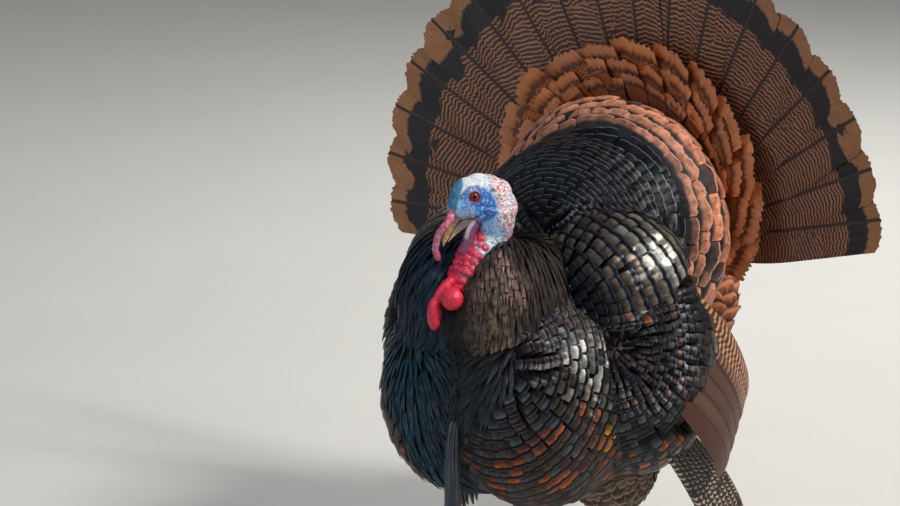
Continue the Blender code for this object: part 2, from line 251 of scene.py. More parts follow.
def tile_feather(name, band=0.12, bare=0.62, root_shade=0.6, side=0.3, rim=(0.05, 0.06, 0.07), **sockets):
    """Body feather: a burnished panel that starts at share bare, with a dark band at the tip and
    a painted highlight in the colour rim along the tip's edge. side is how dark its margins
    are, and root_shade, the argument before side, how much painted shade darkens the panel
    towards the root, under the row above."""
    shader = Shader(name, **sockets)
    across, along = shader.vane()
    lines, away = barbs(shader, across, along, 26.0, 4.0)
    edge = shader.given("edge")
    panel = shader.blend(shader.times(lines, 0.35), shader.given("tint"), edge)
    patchy = shader.step(shader.noise(90.0), 0.36, 0.64, (0.62, 1.25))
    # painted shade: the panel darkens from its tip towards the root, under the row above
    root_shading = shader.step(along, bare, 1 - band, (1 - root_shade, 1.0))
    panel = shader.scaled(panel, shader.times(patchy, root_shading))
    tip = shader.step(along, 1 - band - 0.02, 1 - band + 0.01)
    margin = shader.step(away, 0.86, 0.96, (0.0, side))
    root = shader.step(along, bare, bare - 0.15)
    shaft = shader.step(away, 0.06, 0.02, (0.0, 0.4))
    dark = tip
    for other in (margin, root, shaft):
        dark = shader.maths("MAXIMUM", dark, other)
    # painted highlight: a thin line in the colour rim along the tip's edge, where light catches it
    glint = shader.times(shader.step(along, 0.955, 0.970), shader.step(away, 0.97, 0.92))
    shader.bump(lines, 0.0002)
    return shader.colour(shader.blend(glint, shader.blend(dark, panel, edge), rim))


def quill_feather():
    """Tail quill: wavy chestnut bars on dark brown, a black band, then a tan fringe."""
    shader = Shader("tail_quill", roughness=0.5)
    across, along = shader.vane()
    lines, away = barbs(shader, across, along, 150.0, 9.0)
    wander = shader.noise(46.0, 3.0, rough=0.7)
    bars = shader.step(wavy_bars(shader, away, along, 60.0, 1.6, wander, 1.6), 0.50, 0.80)
    brown = shader.blend(shader.noise(14.0), (0.020, 0.013, 0.010), (0.055, 0.032, 0.022))
    rust = shader.blend(shader.noise(30.0), (0.34, 0.115, 0.042), (0.60, 0.240, 0.100))
    tan = shader.blend(shader.noise(60.0), (0.26, 0.095, 0.030), (0.44, 0.20, 0.080))
    edge = shader.linear(wander, 0.014, along)
    tone = shader.blend(shader.times(bars, 0.9), brown, rust)
    tone = shader.blend(shader.step(edge, 0.835, 0.852), tone, (0.009, 0.008, 0.010))
    tone = shader.blend(shader.step(edge, 0.935, 0.950), tone, tan)
    tone = shader.blend(shader.times(lines, 0.22), tone, (0.02, 0.013, 0.010))
    shaft = shader.step(away, 0.075, 0.03)
    shader.bump(shader.linear(shaft, 3.0, lines), 0.0003)
    return shader.colour(shader.blend(shaft, tone, (0.035, 0.018, 0.012)))


def covert_feather():
    """Tail covert: chestnut with fine black bars, a dark line and a paler fringe."""
    shader = Shader("tail_covert", roughness=0.45)
    black = (0.020, 0.012, 0.010)
    across, along = shader.vane()
    lines, away = barbs(shader, across, along, 60.0, 5.0)
    bars = wavy_bars(shader, away, along, 30.0, 0.8, shader.noise(60.0), 1.6)
    bars = shader.step(bars, 0.66, 0.86, (0.0, 0.8))
    tone = shader.blend(shader.times(bars, shader.step(along, 0.90, 0.80)), shader.given("tint"), black)
    dark = shader.times(shader.step(along, 0.80, 0.84), shader.step(along, 0.90, 0.86))
    tone = shader.blend(shader.times(dark, 0.75), tone, black)
    tone = shader.blend(shader.step(along, 0.88, 0.95), tone, shader.given("edge"))
    tone = shader.blend(shader.times(lines, 0.30), tone, (0.05, 0.022, 0.012))
    shader.bump(lines, 0.0003)
    return shader.colour(tone)


def wing_quill(name, count, share, one_web=False):
    """Flight feather: rows of pale bars across a brown ground, broken on both webs, or whole and
    on one web alone."""
    shader = Shader(name, roughness=0.42, specular_ior_level=0.2)
    across, along = shader.vane()
    lines, away = barbs(shader, across, along, 120.0, 14.0)
    bars = wavy_bars(shader, away, along, count, 1.4, shader.noise(90.0), 0.5)
    bars = shader.step(bars, 1.0 - share, 1.12 - share)
    if one_web:
        web = shader.step(across, -0.10, 0.25)
    else:
        web = shader.times(shader.step(away, 0.97, 0.88), shader.step(away, 0.10, 0.22))
        web = shader.times(shader.step(shader.noise(70.0), 0.34, 0.44), web)
    bars = shader.times(bars, web)
    tone = shader.blend(shader.times(bars, 0.9), shader.given("tint"), shader.given("edge"))
    worn = shader.linear(shader.noise(20.0), 0.7, shader.linear(lines, -0.25, 0.75))
    shaft = shader.step(away, 0.09, 0.04)
    shader.bump(shader.linear(shaft, 3.0, lines), 0.0003)
    return shader.colour(shader.blend(shaft, shader.scaled(tone, worn), (0.05, 0.03, 0.02)))


# ---------------------------------------------------------------- geometry


def unit(rows):
    return rows / np.linalg.norm(rows, axis=-1, keepdims=True)


def link(name, data):
    """A new object of the data, in the scene."""
    obj = bpy.data.objects.new(name, data)
    bpy.context.scene.collection.objects.link(obj)
    return obj


def mesh_object(name, points, corners, sizes, made):
    """A mesh from flat arrays: the corners of all faces in turn, and how many each face has."""
    mesh = bpy.data.meshes.new(name)
    mesh.vertices.add(len(points))
    mesh.vertices.foreach_set("co", np.ascontiguousarray(points + SHIFT, np.float32).ravel())
    mesh.loops.add(len(corners))
    mesh.loops.foreach_set("vertex_index", np.asarray(corners, np.int32))
    mesh.polygons.add(len(sizes))
    mesh.polygons.foreach_set("loop_start", np.asarray(np.cumsum(sizes) - sizes, np.int32))
    mesh.update(calc_edges=True)
    mesh.materials.append(made)
    mesh.shade_smooth()
    mesh.set_sharp_from_angle(angle=math.radians(45))
    return link(name, mesh)


def attach(obj, slot, *nodes):
    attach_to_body(obj, "root")
    if nodes:
        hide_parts(*nodes)


def give(obj, name, values):
    """A point attribute: a colour for each vertex, or a number."""
    values = np.asarray(values, np.float32)
    if values.ndim == 2:
        values = np.concatenate([values, np.ones((len(values), 1), np.float32)], axis=1)
        made = obj.data.attributes.new(name, "FLOAT_COLOR", "POINT")
        made.data.foreach_set("color", values.ravel())
    else:
        obj.data.attributes.new(name, "FLOAT", "POINT").data.foreach_set("value", values)


@dataclass
class Cut:
    """A feather's outline and how it stands off the surface. root, tip and ripple are in metres,
    camber and lap are shares of its width, and square and ragged of its length."""

    columns: int = 4
    rows: int = 5
    root: float = -0.008  # height over the surface at the root
    tip: float = 0.002  # and at the tip
    camber: float = 0.08  # how high the shaft rises over the margins
    lap: float = 0.05  # how far one margin lies over the next feather
    square: float = 0.14  # how much sooner the margins end than the shaft
    split: float = 3.0  # power of that curve: a higher one is squarer
    narrow: float = 0.45  # share of the width at the root
    ragged: float = 0.0  # random notches in the tip
    ripple: float = 0.0  # waves along the margins


FULL_WIDTH = 0.55  # share of its length at which a feather is full width
LIFT = 0.12  # how unevenly the tips lift


def vane_faces(columns, rows, mirror):
    """Corners, face sizes and bake places of one closed vane: its top, underside and two ends."""
    def at(i, j):
        return i * (columns + 1) + j

    faces, places = [], []
    for i in range(rows):
        for j in range(columns):
            faces.append([at(i, j), at(i + 1, j), at(i + 1, j + 1), at(i, j + 1)])
            places.append([(0.02 + 0.80 * q / columns, 0.02 + 0.96 * p / rows)
                           for p, q in ((i, j), (i + 1, j), (i + 1, j + 1), (i, j + 1))])
        faces.append([at(i, 0), at(i, columns), at(i + 1, columns), at(i + 1, 0)])
        places.append([(x, 0.10 + 0.88 * p / rows)
                       for x, p in ((0.86, i), (0.98, i), (0.98, i + 1), (0.86, i + 1))])
    for i, order, low in ((0, range(columns + 1), 0.01), (rows, range(columns, -1, -1), 0.05)):
        faces.append([at(i, j) for j in order])
        places.append([(0.86 + 0.12 * j / columns, low + 0.03 * (1 - (2 * j / columns - 1) ** 2))
                       for j in order])
    if mirror:
        faces = [face[::-1] for face in faces]
        places = [place[::-1] for place in places]
    sizes = [len(face) for face in faces]
    return np.concatenate(faces), np.array(sizes), np.concatenate([np.array(p) for p in places])


def vanes(name, lay, length, width, cut, made, patches, seed, tint=None, edge=None, side=1):
    """One object of many feathers. lay(x, y, h) gives places on the surface, one row a feather,
    with y running the other way on side -1."""
    rng = np.random.default_rng(seed)
    count, columns, rows = len(length), cut.columns, cut.rows
    t = np.linspace(0, 1, rows + 1)[None, :, None]
    s = np.linspace(-1, 1, columns + 1)[None, None, :]
    length, width = np.asarray(length)[:, None, None], np.asarray(width)[:, None, None]
    ends = 1 - cut.square * np.abs(s) ** cut.split
    ends = ends - cut.ragged * rng.random((count, 1, columns + 1))
    x = length * t * ends
    broad = cut.narrow + (1 - cut.narrow) * np.sin(np.pi / 2 * np.minimum(1, t / FULL_WIDTH))
    y = width / 2 * s * broad
    lift = rng.uniform(-LIFT, LIFT, (count, 1, 1))
    h = cut.root + (cut.tip - cut.root) * np.sin(np.pi / 2 * t) * (1 + lift)
    h = h + width * (cut.camber * (1 - s * s) - cut.lap * s) * np.minimum(1, 0.3 + t)
    if cut.ripple:
        phase = rng.uniform(0, 2 * np.pi, (count, 1, 1))
        h = h + cut.ripple * np.sin(phase + 9 * t + 2 * s) * t * np.abs(s)
    points = lay(x, y, h + 0 * x).reshape(-1, 3)
    corners, sizes, places = vane_faces(columns, rows, side < 0)
    each = (rows + 1) * (columns + 1)
    all_corners = (np.arange(count)[:, None] * each + corners[None]).ravel()
    obj = mesh_object(name, points, all_corners, np.tile(sizes, count), made)
    grid = np.stack(np.broadcast_arrays((s[0] + 1) / 2, t[0]), axis=-1).reshape(-1, 2)
    feather = np.tile(grid[corners], (count, 1))
    bake = patches[:, None, :2] + places[None] * patches[:, None, 2:]
    for label, values in (("OFBake", bake), ("Feather", feather)):
        layer = obj.data.uv_layers.new(name=label)
        layer.uv.foreach_set("vector", np.asarray(values, np.float32).ravel())
    if tint is not None:
        give(obj, "tint", np.repeat(tint, each, axis=0))
        give(obj, "edge", np.repeat(edge, each, axis=0))
    return obj


def row_patches(rows):
    """Places on the surface's unwrap: each row is a strip, shared among its feathers in order."""
    rows = np.asarray(rows)
    found = np.zeros((len(rows), 4))
    kept = np.unique(rows)
    high = 1 / len(kept)
    for k, row in enumerate(kept):
        where = np.flatnonzero(rows == row)
        wide = 1 / len(where)
        found[where, 0] = (np.arange(len(where)) + 0.03) * wide
        found[where, 1] = (k + 0.03) * high
        found[where, 2:] = 0.94 * wide, 0.94 * high
    return found


def placed(lobe, side):
    (x, y, z), radii = lobe
    return (side * x, y, z), radii


MASSES = CORE, VENT, MANTLE, RUMP, BREAST, HACKLE, SHOULDER, WING, THIGH
BODY = [placed(lobe, side) for mass in MASSES for side, lobe in mass.items()]
CREASE = 0.009  # how softly the coat fills the creases between lobes


def coat_level(points):
    """Height over the body's lobes, blended into one surface, and the outward direction there."""
    weights, outward = np.zeros(points.shape[:-1]), np.zeros(points.shape)
    for centre, radii in BODY:
        near = (points - centre) / radii
        steep = near / radii
        far, slope = np.linalg.norm(near, axis=-1), np.linalg.norm(steep, axis=-1)
        weight = np.exp(np.clip((1 - far) * far / slope / CREASE, -40, 40))
        weights += weight
        outward += (weight / slope)[..., None] * steep
    return -CREASE * np.log(weights), unit(outward)


def on_coat(points, height):
    """The points moved to that height over the blended body."""
    for _ in range(3):
        level, outward = coat_level(points)
        points = points - outward * np.clip(level, -0.02, 0.02)[..., None]
    return points + coat_level(points)[1] * height[..., None]


MOST = 0.7  # share of a feather's length at which a tract decides whether it stays


class Lobe:
    """A puffed mass whose feathers spread from a pole. Azimuth 0 is down, and 90 is outwards."""

    def __init__(self, lobe, pole, side, down, free):
        self.side, self.free = side, free
        self.centre, self.radii = np.array(lobe[0]), np.array(lobe[1])
        self.pole = unit(np.array(pole, float) * (side, 1, 1))
        self.down = unit(np.array(down, float) - np.dot(down, self.pole) * self.pole)
        self.out = side * np.cross(self.pole, self.down)
        self.mean = self.radii.prod() ** (1 / 3)

    def roots(self, a, b):
        """Unit places at angle a from the pole and azimuth b, and the way the feathers point."""
        ring = np.cos(b)[:, None] * self.down + np.sin(b)[:, None] * self.out
        a = a[:, None]
        return np.cos(a) * self.pole + np.sin(a) * ring, np.cos(a) * ring - np.sin(a) * self.pole

    def lay(self, root, heading):
        speed = np.linalg.norm(heading * self.radii, axis=1)[:, None, None]
        root, heading = root[:, None, None, :], heading[:, None, None, :]

        def place(x, y, h):
            turn = (x / speed)[..., None]
            mid = root * np.cos(turn) + heading * np.sin(turn)
            ahead = heading * np.cos(turn) - root * np.sin(turn)
            across = self.side * unit(np.cross(mid / self.radii, ahead * self.radii))
            spot = unit(mid + across / self.radii * y[..., None])
            point = self.centre + spot * self.radii
            if self.free:
                return point + unit(spot / self.radii) * h[..., None]
            return on_coat(point, h)

        return place


def buried(points, own, margin):
    """Which points lie deeper than the margin inside a lobe that isn't one of their own."""
    found = np.zeros(len(points), bool)
    for lobe in BODY:
        if lobe not in own:
            inner = (points - lobe[0]) / (np.array(lobe[1]) - margin)
            found |= (inner**2).sum(axis=1) < 1
    return found


def mix(base, *layers):
    """A colour, or a row of them for each feather or vertex, with each (colour, share) laid over
    it in turn."""
    tone = np.atleast_2d(np.array(base, float))
    for colour, share in layers:
        share = np.clip(np.asarray(share, float), 0, 1)[:, None]
        tone = tone * (1 - share) + np.array(colour) * share
    return tone


def plain(colour, like):
    """One colour, as often as like has rows."""
    return np.tile(colour, (len(like), 1))


def feather_rings(lobe, row, column, reach, scatter, rng):
    """Roots in rings round the pole: their angle from it, azimuth, the spaces there, and ring."""
    first, last = map(math.radians, reach)
    a, ring, found = first, 0, []
    while a < last:
        share = ((a - first) / (last - first)) ** 0.75
        high, broad = (start + (end - start) * share for start, end in (row, column))
        count = max(5, round(2 * math.pi * lobe.mean * math.sin(a) / broad))
        b = (np.arange(count) + 0.5 * (ring % 2)) / count * 2 * np.pi
        b = b + rng.uniform(-0.10, 0.10, count) * 2 * np.pi / count
        b = np.sort((b + np.pi) % (2 * np.pi) - np.pi)
        jitter = rng.uniform(-scatter, scatter, count) * high / lobe.mean
        same = (np.full(count, value) for value in (high, broad, ring))
        found.append(np.stack([a + jitter, b, *same], axis=1))
        a += high / lobe.mean
        ring += 1
    return np.concatenate(found).T


def tract(name, source, made, slot, cut, paint, seed, pole, row, column, size, reach, margin=0.012,
          nodes=(), down=(0, 0, -1), keep=None, yaw=3, scatter=0.05, free=False, over=()):
    """Feathers in rings round a lobe's pole, on each side that the source has. row and column
    are the spaces between roots, near the pole and at the last ring, size is a feather's length
    and width in those spaces, and reach is the first and last ring's angle from the pole. keep
    says which feathers stay. The tract also runs on over the masses in over."""
    for side, form in source.items():
        form = placed(form, side)
        lobe = Lobe(form, pole, side, down, free)
        rng = np.random.default_rng(seed + side)
        a, b, high, broad, rings = feather_rings(lobe, row, column, reach, scatter, rng)
        root, heading = lobe.roots(a, b)
        turn = np.radians(rng.normal(0, yaw, len(a)))[:, None]
        heading = heading * np.cos(turn) + np.cross(root, heading) * np.sin(turn)
        length = size[0] * high * rng.uniform(0.97, 1.03, len(a))
        width = size[1] * broad * rng.uniform(0.94, 1.06, len(a))
        ahead = unit(root + heading * (MOST * length / lobe.mean)[:, None])
        own = [form, *(placed(mass[side], side) for mass in over)]
        kept = ~buried(lobe.centre + ahead * lobe.radii, own, margin)
        nought = 0 * a[:, None, None]
        at = lobe.lay(root, heading)(MOST * length[:, None, None], nought, nought).reshape(-1, 3)
        if keep is not None:
            kept &= keep(at, side)
        a, b, rings, root, heading, length, width, at = (
            each[kept] for each in (a, b, rings, root, heading, length, width, at)
        )
        tint, edge = paint(np.degrees(a), np.degrees(b), rng.random(len(a)), at)
        word = f"_{dict(SIDES)[side]}" if len(source) > 1 else ""
        obj = vanes(name + word, lobe.lay(root, heading), length, width, cut, made,
                    row_patches(rings), seed + 5 + side, tint, edge, side)
        attach(obj, slot, *nodes)


# ---------------------------------------------------------------- plumage

INK = (0.004, 0.004, 0.006)
SOOT = (0.014, 0.014, 0.017)
BRONZE = (0.105, 0.064, 0.044)
# The next three: the feathers' iridescent sheen, painted as fixed glints where it catches the light
EMBER_GLINT = (0.640, 0.140, 0.030)
GOLD_GLINT = (0.700, 0.320, 0.030)
SILVER_GLINT = (0.420, 0.420, 0.350)
PEWTER = (0.110, 0.120, 0.130)
STEEL = (0.022, 0.045, 0.080)
COPPER = (0.420, 0.200, 0.150)
SALMON = (0.740, 0.290, 0.160)
CHESTNUT = (0.560, 0.135, 0.026)
BUFF = (0.300, 0.210, 0.130)
UMBER = (0.034, 0.025, 0.023)
TAN = (0.210, 0.140, 0.100)


def above(value, low, high):
    return np.clip((value - low) / (high - low), 0, 1)


def hill(value, centre, width):
    return np.exp(-(((value - centre) / width) ** 2))


def paint_breast(a, b, chance, at):
    """Colours of the panels and of their dark edges, as for all the tracts: a is the angle from
    the tract's pole and b the azimuth there, in degrees, chance a random share for each feather
    and at its place."""
    # painted light: orange and gold glints on the lower rows, and silver to near-white highlights out at
    # the side
    low = above(a, 32, 44) * above(b, -32, -12) * above(b, 90, 74)
    silver_highlight = hill(b, 100, 18) * above(a, 26, 40) * above(a, 90, 76)
    tint = mix((0.060, 0.042, 0.034),
               (PEWTER, 0.8 * (chance < 0.28)),
               (STEEL, 0.7 * (chance > 0.90)),
               (SILVER_GLINT, 0.9 * silver_highlight * (chance > 0.35)),
               ((0.78, 0.76, 0.68), 0.8 * silver_highlight * (chance > 0.7)),
               (BRONZE, low * (chance > 0.3)),
               (EMBER_GLINT, 0.85 * low * above(chance, 0.60, 0.86)),
               (GOLD_GLINT, hill(b, 74, 10) * (chance > 0.8) * above(a, 60, 70)))
    return tint, plain(INK, a)


def paint_throat(a, b, chance, at):
    shade = above(-at[:, 0], 0.0, 0.05)
    brown = above(at[:, 2], 0.30, 0.36) * (1 - shade)
    tint = mix((0.018, 0.026, 0.036), (UMBER, brown), ((0.008, 0.072, 0.110), 0.9 * shade),
               (PEWTER, 0.25 * (chance > 0.85)))
    return tint, mix(INK, (STEEL, 0.15 * chance))


def paint_hackle(a, b, chance, at):
    x, _, z = at.T
    # painted light: tan where the left side is lit, a pink band where light catches the ridge, and dark
    # blue painted shade on the right side
    shade = above(-x, 0.0, 0.03)
    lit_crest = hill(x - 0.63 * (0.470 - z), 0.049, 0.007)
    lit_crest = lit_crest * above(z, 0.405, 0.420) * above(z, 0.478, 0.468)
    lit = above(x, 0.010, 0.030) * above(x, 0.088, 0.066) * above(z, 0.462, 0.440)
    tint = mix(UMBER, (TAN, lit * (0.55 + 0.35 * chance)), ((0.52, 0.32, 0.26), 0.6 * lit_crest),
               ((0.012, 0.045, 0.085), 0.95 * shade))
    return tint, mix((0.010, 0.008, 0.009), (INK, 0.5 * chance))


def paint_shoulder(a, b, chance, at):
    # painted light: outer puts silver to near-white highlights on the last rows, and low orange glints on
    # the lower ends
    outer = above(a, 62, 80) * hill(b, 128, 56)
    low = hill(b, 68, 10) * above(a, 34, 46)
    tint = mix((0.190, 0.145, 0.110),
               (SOOT, above(a, 46, 26)),
               (STEEL, 0.35 * (chance < 0.12)),
               (SILVER_GLINT, outer),
               ((0.80, 0.80, 0.70), 0.8 * outer * (chance > 0.45)),
               ((0.60, 0.42, 0.34), 0.6 * outer * (chance < 0.2)),
               (EMBER_GLINT, low * (chance > 0.45)))
    return tint, mix(INK, (STEEL, 0.25 * chance))


def paint_wing(a, b, chance, at):
    # painted light: silver glints on the last rows, and orange glints low down
    outer = above(a, 62, 80)
    low = hill(b, 30, 22) * above(a, 44, 60)
    tint = mix((0.024, 0.025, 0.032),
               (BRONZE, 0.7 * (chance > 0.62)),
               (PEWTER, 0.7 * (chance < 0.25)),
               (SILVER_GLINT, 0.8 * outer * (chance > 0.45)),
               (EMBER_GLINT, low * (chance > 0.80)))
    return tint, plain(INK, a)


def paint_greater(a, b, chance, at):
    # the silver on some of these feathers is a painted glint of their sheen
    silver, pewter = 0.85 * (chance > 0.5), 0.7 * (chance < 0.2)
    return mix((0.150, 0.120, 0.090), (SILVER_GLINT, silver), (PEWTER, pewter)), mix(INK, (STEEL, 0.2 * chance))


def paint_dark(a, b, chance, at):
    tint = mix((0.007, 0.008, 0.011), (UMBER, 0.5 * (chance > 0.75)))
    return tint, mix(INK, (STEEL, 0.1 * chance))


def paint_rump(a, b, chance, at):
    dark = above(a, 78, 62) * (chance < 0.55) + 0.9 * (chance > 0.88)
    return mix(SALMON, (COPPER, 0.5 * (chance > 0.5)), (SOOT, dark)), mix(SOOT, (INK, chance))


def paint_belly(a, b, chance, at):
    return mix((0.055, 0.038, 0.030), (BUFF, 0.4 * chance)), mix(BUFF, (COPPER, 0.3 * chance))


def paint_under(a, b, chance, at):
    return mix((0.08, 0.040, 0.025), (CHESTNUT, 0.6 * chance)), mix(CHESTNUT, (BUFF, 0.5 * chance))


def central(at, side):
    """The wedge of fine dark feathers down the middle of the breast, wider on the right, where the extra
    dark feathers are painted shade.
    """
    height, half_width = (0.237, 0.258, 0.289, 0.326, 0.366), (0.012, 0.047, 0.082, 0.089, 0.082)
    edge = np.interp(at[:, 2], height, half_width)
    return side * at[:, 0] < edge + (0.07 if side < 0 else 0.0)


def under_cape(at, lift=0.0):
    """Below the line where the scapulars end over the folded wing."""
    return at[:, 2] < 0.364 + lift + 0.72 * (at[:, 1] + 0.087)


def before_panel(at, lead=0.0):
    """Ahead, by lead, of the line where the wing's coverts give way to the long secondaries."""
    return (at[:, 1] < -0.046 - lead + 1.21 * (at[:, 2] - 0.247)) | (at[:, 2] < 0.232)


# rim below is the colour of each feather's painted highlight along its tip
TILE = tile_feather("tile_feather", band=0.15, metallic=0.75, roughness=0.30)
SHEEN = tile_feather("dark_feather", band=0.10, rim=(0.10, 0.125, 0.15),
                     metallic=0.4, roughness=0.30, specular_ior_level=0.3)
STREAK = tile_feather("streak_feather", band=0.03, bare=0.5, root_shade=0.3, side=0.85,
                      rim=(0.020, 0.018, 0.018), metallic=0.3, roughness=0.42, specular_ior_level=0.25)
TIPPED = tile_feather("tipped_feather", band=0.0, bare=0.82, root_shade=0.2, side=0.1,
                      rim=(0.46, 0.24, 0.17), metallic=0.0, roughness=0.55, specular_ior_level=0.3)
DOWNY = tile_feather("downy_feather", band=0.14, metallic=0.0, roughness=0.75)


def make_plumage():
    tile = Cut(4, 5, root=-0.008, tip=0.0035, camber=0.034, lap=0.035, square=0.04, narrow=0.8, split=6)
    broad = Cut(6, 7, root=-0.006, tip=0.0055, camber=0.05, lap=0.04, square=0.08, narrow=0.75, split=4)
    streak = Cut(2, 8, root=-0.006, tip=0.0015, camber=0.14, lap=0.06, square=0.30, narrow=0.8, split=2)
    loose = Cut(root=-0.009, tip=0.006, camber=0.10, square=0.22, narrow=0.6, ripple=0.002)
    frayed = Cut(8, 6, root=-0.008, tip=0.006, camber=0.06, lap=0.03, square=0.06, narrow=0.7,
                 split=4, ragged=0.07)
    on_wing = {"source": WING, "pole": (0.30, -0.87, 0.40), "made": TILE, "slot": "bronze_feather"}
    on_back = {"source": BACK, "pole": (0.22, -0.96, 0.18), "over": (MANTLE, RUMP)}
    fine = {"made": STREAK, "cut": streak, "yaw": 2, "scatter": 0.5}
    downy = {"made": DOWNY, "slot": "barred_feather", "cut": loose, "paint": paint_belly}

    tract("breast", BREAST, TILE, "bronze_feather", tile, paint_breast, 11,
          pole=(0.06, -0.89, 0.46), row=(0.0115, 0.0145), column=(0.0115, 0.0200),
          size=(2.6, 1.16), reach=(6, 160), keep=lambda at, side: ~central(at, side))
    tract("throat", BREAST, slot="black_feather", paint=paint_throat, seed=16,
          pole=(0.21, -0.73, 0.65), row=(0.0180, 0.0230), column=(0.0042, 0.0058),
          size=(2.6, 1.45), reach=(4, 150), keep=central, **fine)
    tract("hackle", HACKLE, slot="bronze_feather", paint=paint_hackle, seed=21,
          pole=(-0.18, 0.12, 0.98), row=(0.0140, 0.0220), column=(0.0032, 0.0046),
          size=(2.9, 1.45), reach=(3, 155), **fine)
    tract("scapulars", SHOULDER, TILE, "bronze_feather", tile, paint_shoulder, 31,
          pole=(-0.31, -0.89, -0.33), row=(0.0100, 0.0235), column=(0.0055, 0.0290),
          size=(2.5, 1.14), reach=(6, 160), over=(WING,),
          keep=lambda at, side: ~under_cape(at, -0.006))
    tract("wing_coverts", cut=tile, paint=paint_wing, seed=41,
          row=(0.0095, 0.0170), column=(0.0034, 0.0175), size=(2.7, 1.16), reach=(1, 130),
          keep=lambda at, side: under_cape(at, 0.010) & before_panel(at), **on_wing)
    tract("greater_coverts", cut=broad, paint=paint_greater, seed=46,
          row=(0.0200, 0.0230), column=(0.0230, 0.0260), size=(2.3, 1.2), reach=(62, 130),
          keep=lambda at, side: under_cape(at, 0.006) & before_panel(at) & ~before_panel(at, 0.032),
          **on_wing)
    tract("back", made=SHEEN, slot="black_feather", cut=tile, paint=paint_dark, seed=51,
          row=(0.0055, 0.0115), column=(0.0055, 0.0190), size=(2.8, 1.2), reach=(2, 68), **on_back)
    tract("rump_feathers", made=TIPPED, slot="chestnut_feather", cut=frayed, paint=paint_rump, seed=61,
          row=(0.0160, 0.0185), column=(0.0270, 0.0330), size=(2.9, 1.2), reach=(68, 150),
          keep=lambda at, side: at[:, 1] < 0.228, **on_back)
    tract("flank", CORE, TILE, "black_feather", tile, paint_dark, 71, pole=(0.0, -0.95, 0.30),
          row=(0.0150, 0.0150), column=(0.0200, 0.0200), size=(2.8, 1.25), reach=(20, 165))
    tract("belly", VENT, seed=81, pole=(0.0, -0.80, -0.60), row=(0.0150, 0.0150),
          column=(0.0200, 0.0200), size=(2.8, 1.4), reach=(10, 150), **downy)
    tract("thigh_feathers", THIGH, seed=91, pole=(0.0, -0.35, 0.93), row=(0.0110, 0.0110),
          column=(0.0130, 0.0130), size=(2.8, 1.4), reach=(20, 155), margin=0.004, **downy)


def make_tail():
    def fan_lay(angle):
        angle = angle[:, None, None]

        def place(x, y, h):
            radius = QUILL_ROOT + x
            turn = angle + FAN_ROLL - y / np.maximum(radius, FAN_INNER)
            reach = radius * math.cos(FAN_CUP)
            parts = reach * np.sin(turn), -radius * math.sin(FAN_CUP) - h, reach * np.cos(turn)
            return FAN_APEX + np.stack(parts, axis=-1)

        return place

    quill = quill_feather()
    for side, word in SIDES:
        k = np.arange(QUILLS // 2)
        angle = side * (k + 0.5) * 2 * FAN_HALF_SPAN / QUILLS
        reach = FAN_RADIUS * (1 - FAN_SIDE_DROP * (2 * angle / math.pi) ** 2)
        cut = Cut(30, 32, root=-0.001, tip=0.001, camber=0.018, lap=side * 0.022, square=0.05,
                  split=2.6, narrow=0.42, ragged=0.012, ripple=0.002)
        obj = vanes(f"tail_quills_{word}", fan_lay(angle), reach - QUILL_ROOT, np.full(len(k), 0.084),
                    cut, quill, row_patches(k // 3), 101 + side)
        attach(obj, "barred_feather", "tail_fan")

    covert = covert_feather()
    for name, count, reach, ahead, wide, tone in (
        ("back", 13, 1.02, -0.004, 0.078, 0.2),
        ("middle", 14, 0.90, 0.001, 0.066, 0.5),
        ("front", 17, 0.77, 0.006, 0.050, 0.8),
    ):
        rng = np.random.default_rng(120 + count)
        angle = np.radians(np.linspace(-110, 110, count) + rng.uniform(-1.5, 1.5, count))
        length = RING_REACH * reach * rng.uniform(0.96, 1.03, count) - RING_HOLE
        length = length * (1 + 0.10 * np.sin(angle) ** 2)

        def place(x, y, h, angle=angle[:, None, None]):
            radius = RING_HOLE + x
            turn = angle - y / radius
            forward = RING_LEAN * (radius - RING_FOOT) / RING_SPAN
            parts = radius * np.sin(turn), -forward - h, radius * np.cos(turn)
            return RING_AT + np.stack(parts, axis=-1)

        cut = Cut(24, 14, root=ahead - 0.004, tip=ahead + 0.003, camber=0.05, lap=0.11, square=0.04,
                  narrow=0.60, ragged=0.05, ripple=0.004)
        chance = rng.random(count)
        tint = mix(CHESTNUT, ((0.13, 0.040, 0.018), tone * chance),
                   ((0.55, 0.17, 0.04), 0.5 * (chance > 0.6)))
        edge = mix((0.76, 0.26, 0.080), (COPPER, 0.4 * chance))
        obj = vanes(f"tail_coverts_{name}", place, length, wide * rng.uniform(0.9, 1.1, count), cut,
                    covert, row_patches(np.arange(count) // 8), 130 + count, tint, edge)
        attach(obj, "chestnut_feather", "tail_coverts_upper")

    puff = Cut(6, 7, root=-0.010, tip=0.006, camber=0.10, square=0.25, narrow=0.6, ragged=0.05,
               ripple=0.003)
    tract("under_coverts", UNDER, DOWNY, "chestnut_feather", puff, paint_under, 141,
          pole=(0.0, 0.35, -0.94), row=(0.0150, 0.0150), column=(0.0220, 0.0220), size=(3.2, 1.4),
          reach=(8, 150), down=(0, 1, 0), nodes=("tail_coverts_under",), free=True)


def panel(root, tip, bulge, bend, side):
    """A wing panel's surface: shares across and along between its root line and its tip line,
    swelling outwards by bulge and backwards by bend."""
    root, tip = np.array(root), np.array(tip)

    def lay(middle):
        middle = middle[:, None, None]

        def place(x, y, h):
            across = (middle + y)[..., None]
            start = root[0] + (root[1] - root[0]) * across
            end = tip[0] + (tip[1] - tip[0]) * across
            point = start + (end - start) * x[..., None]
            swell = bulge * np.sin(np.pi * np.minimum(1, 0.15 + 0.7 * x)) * (1 - 0.3 * (middle + y))
            point[..., 0] += swell + h
            point[..., 1] += bend * np.sin(np.pi * np.minimum(1, x))
            return point * (side, 1, 1)

        return place

    return lay


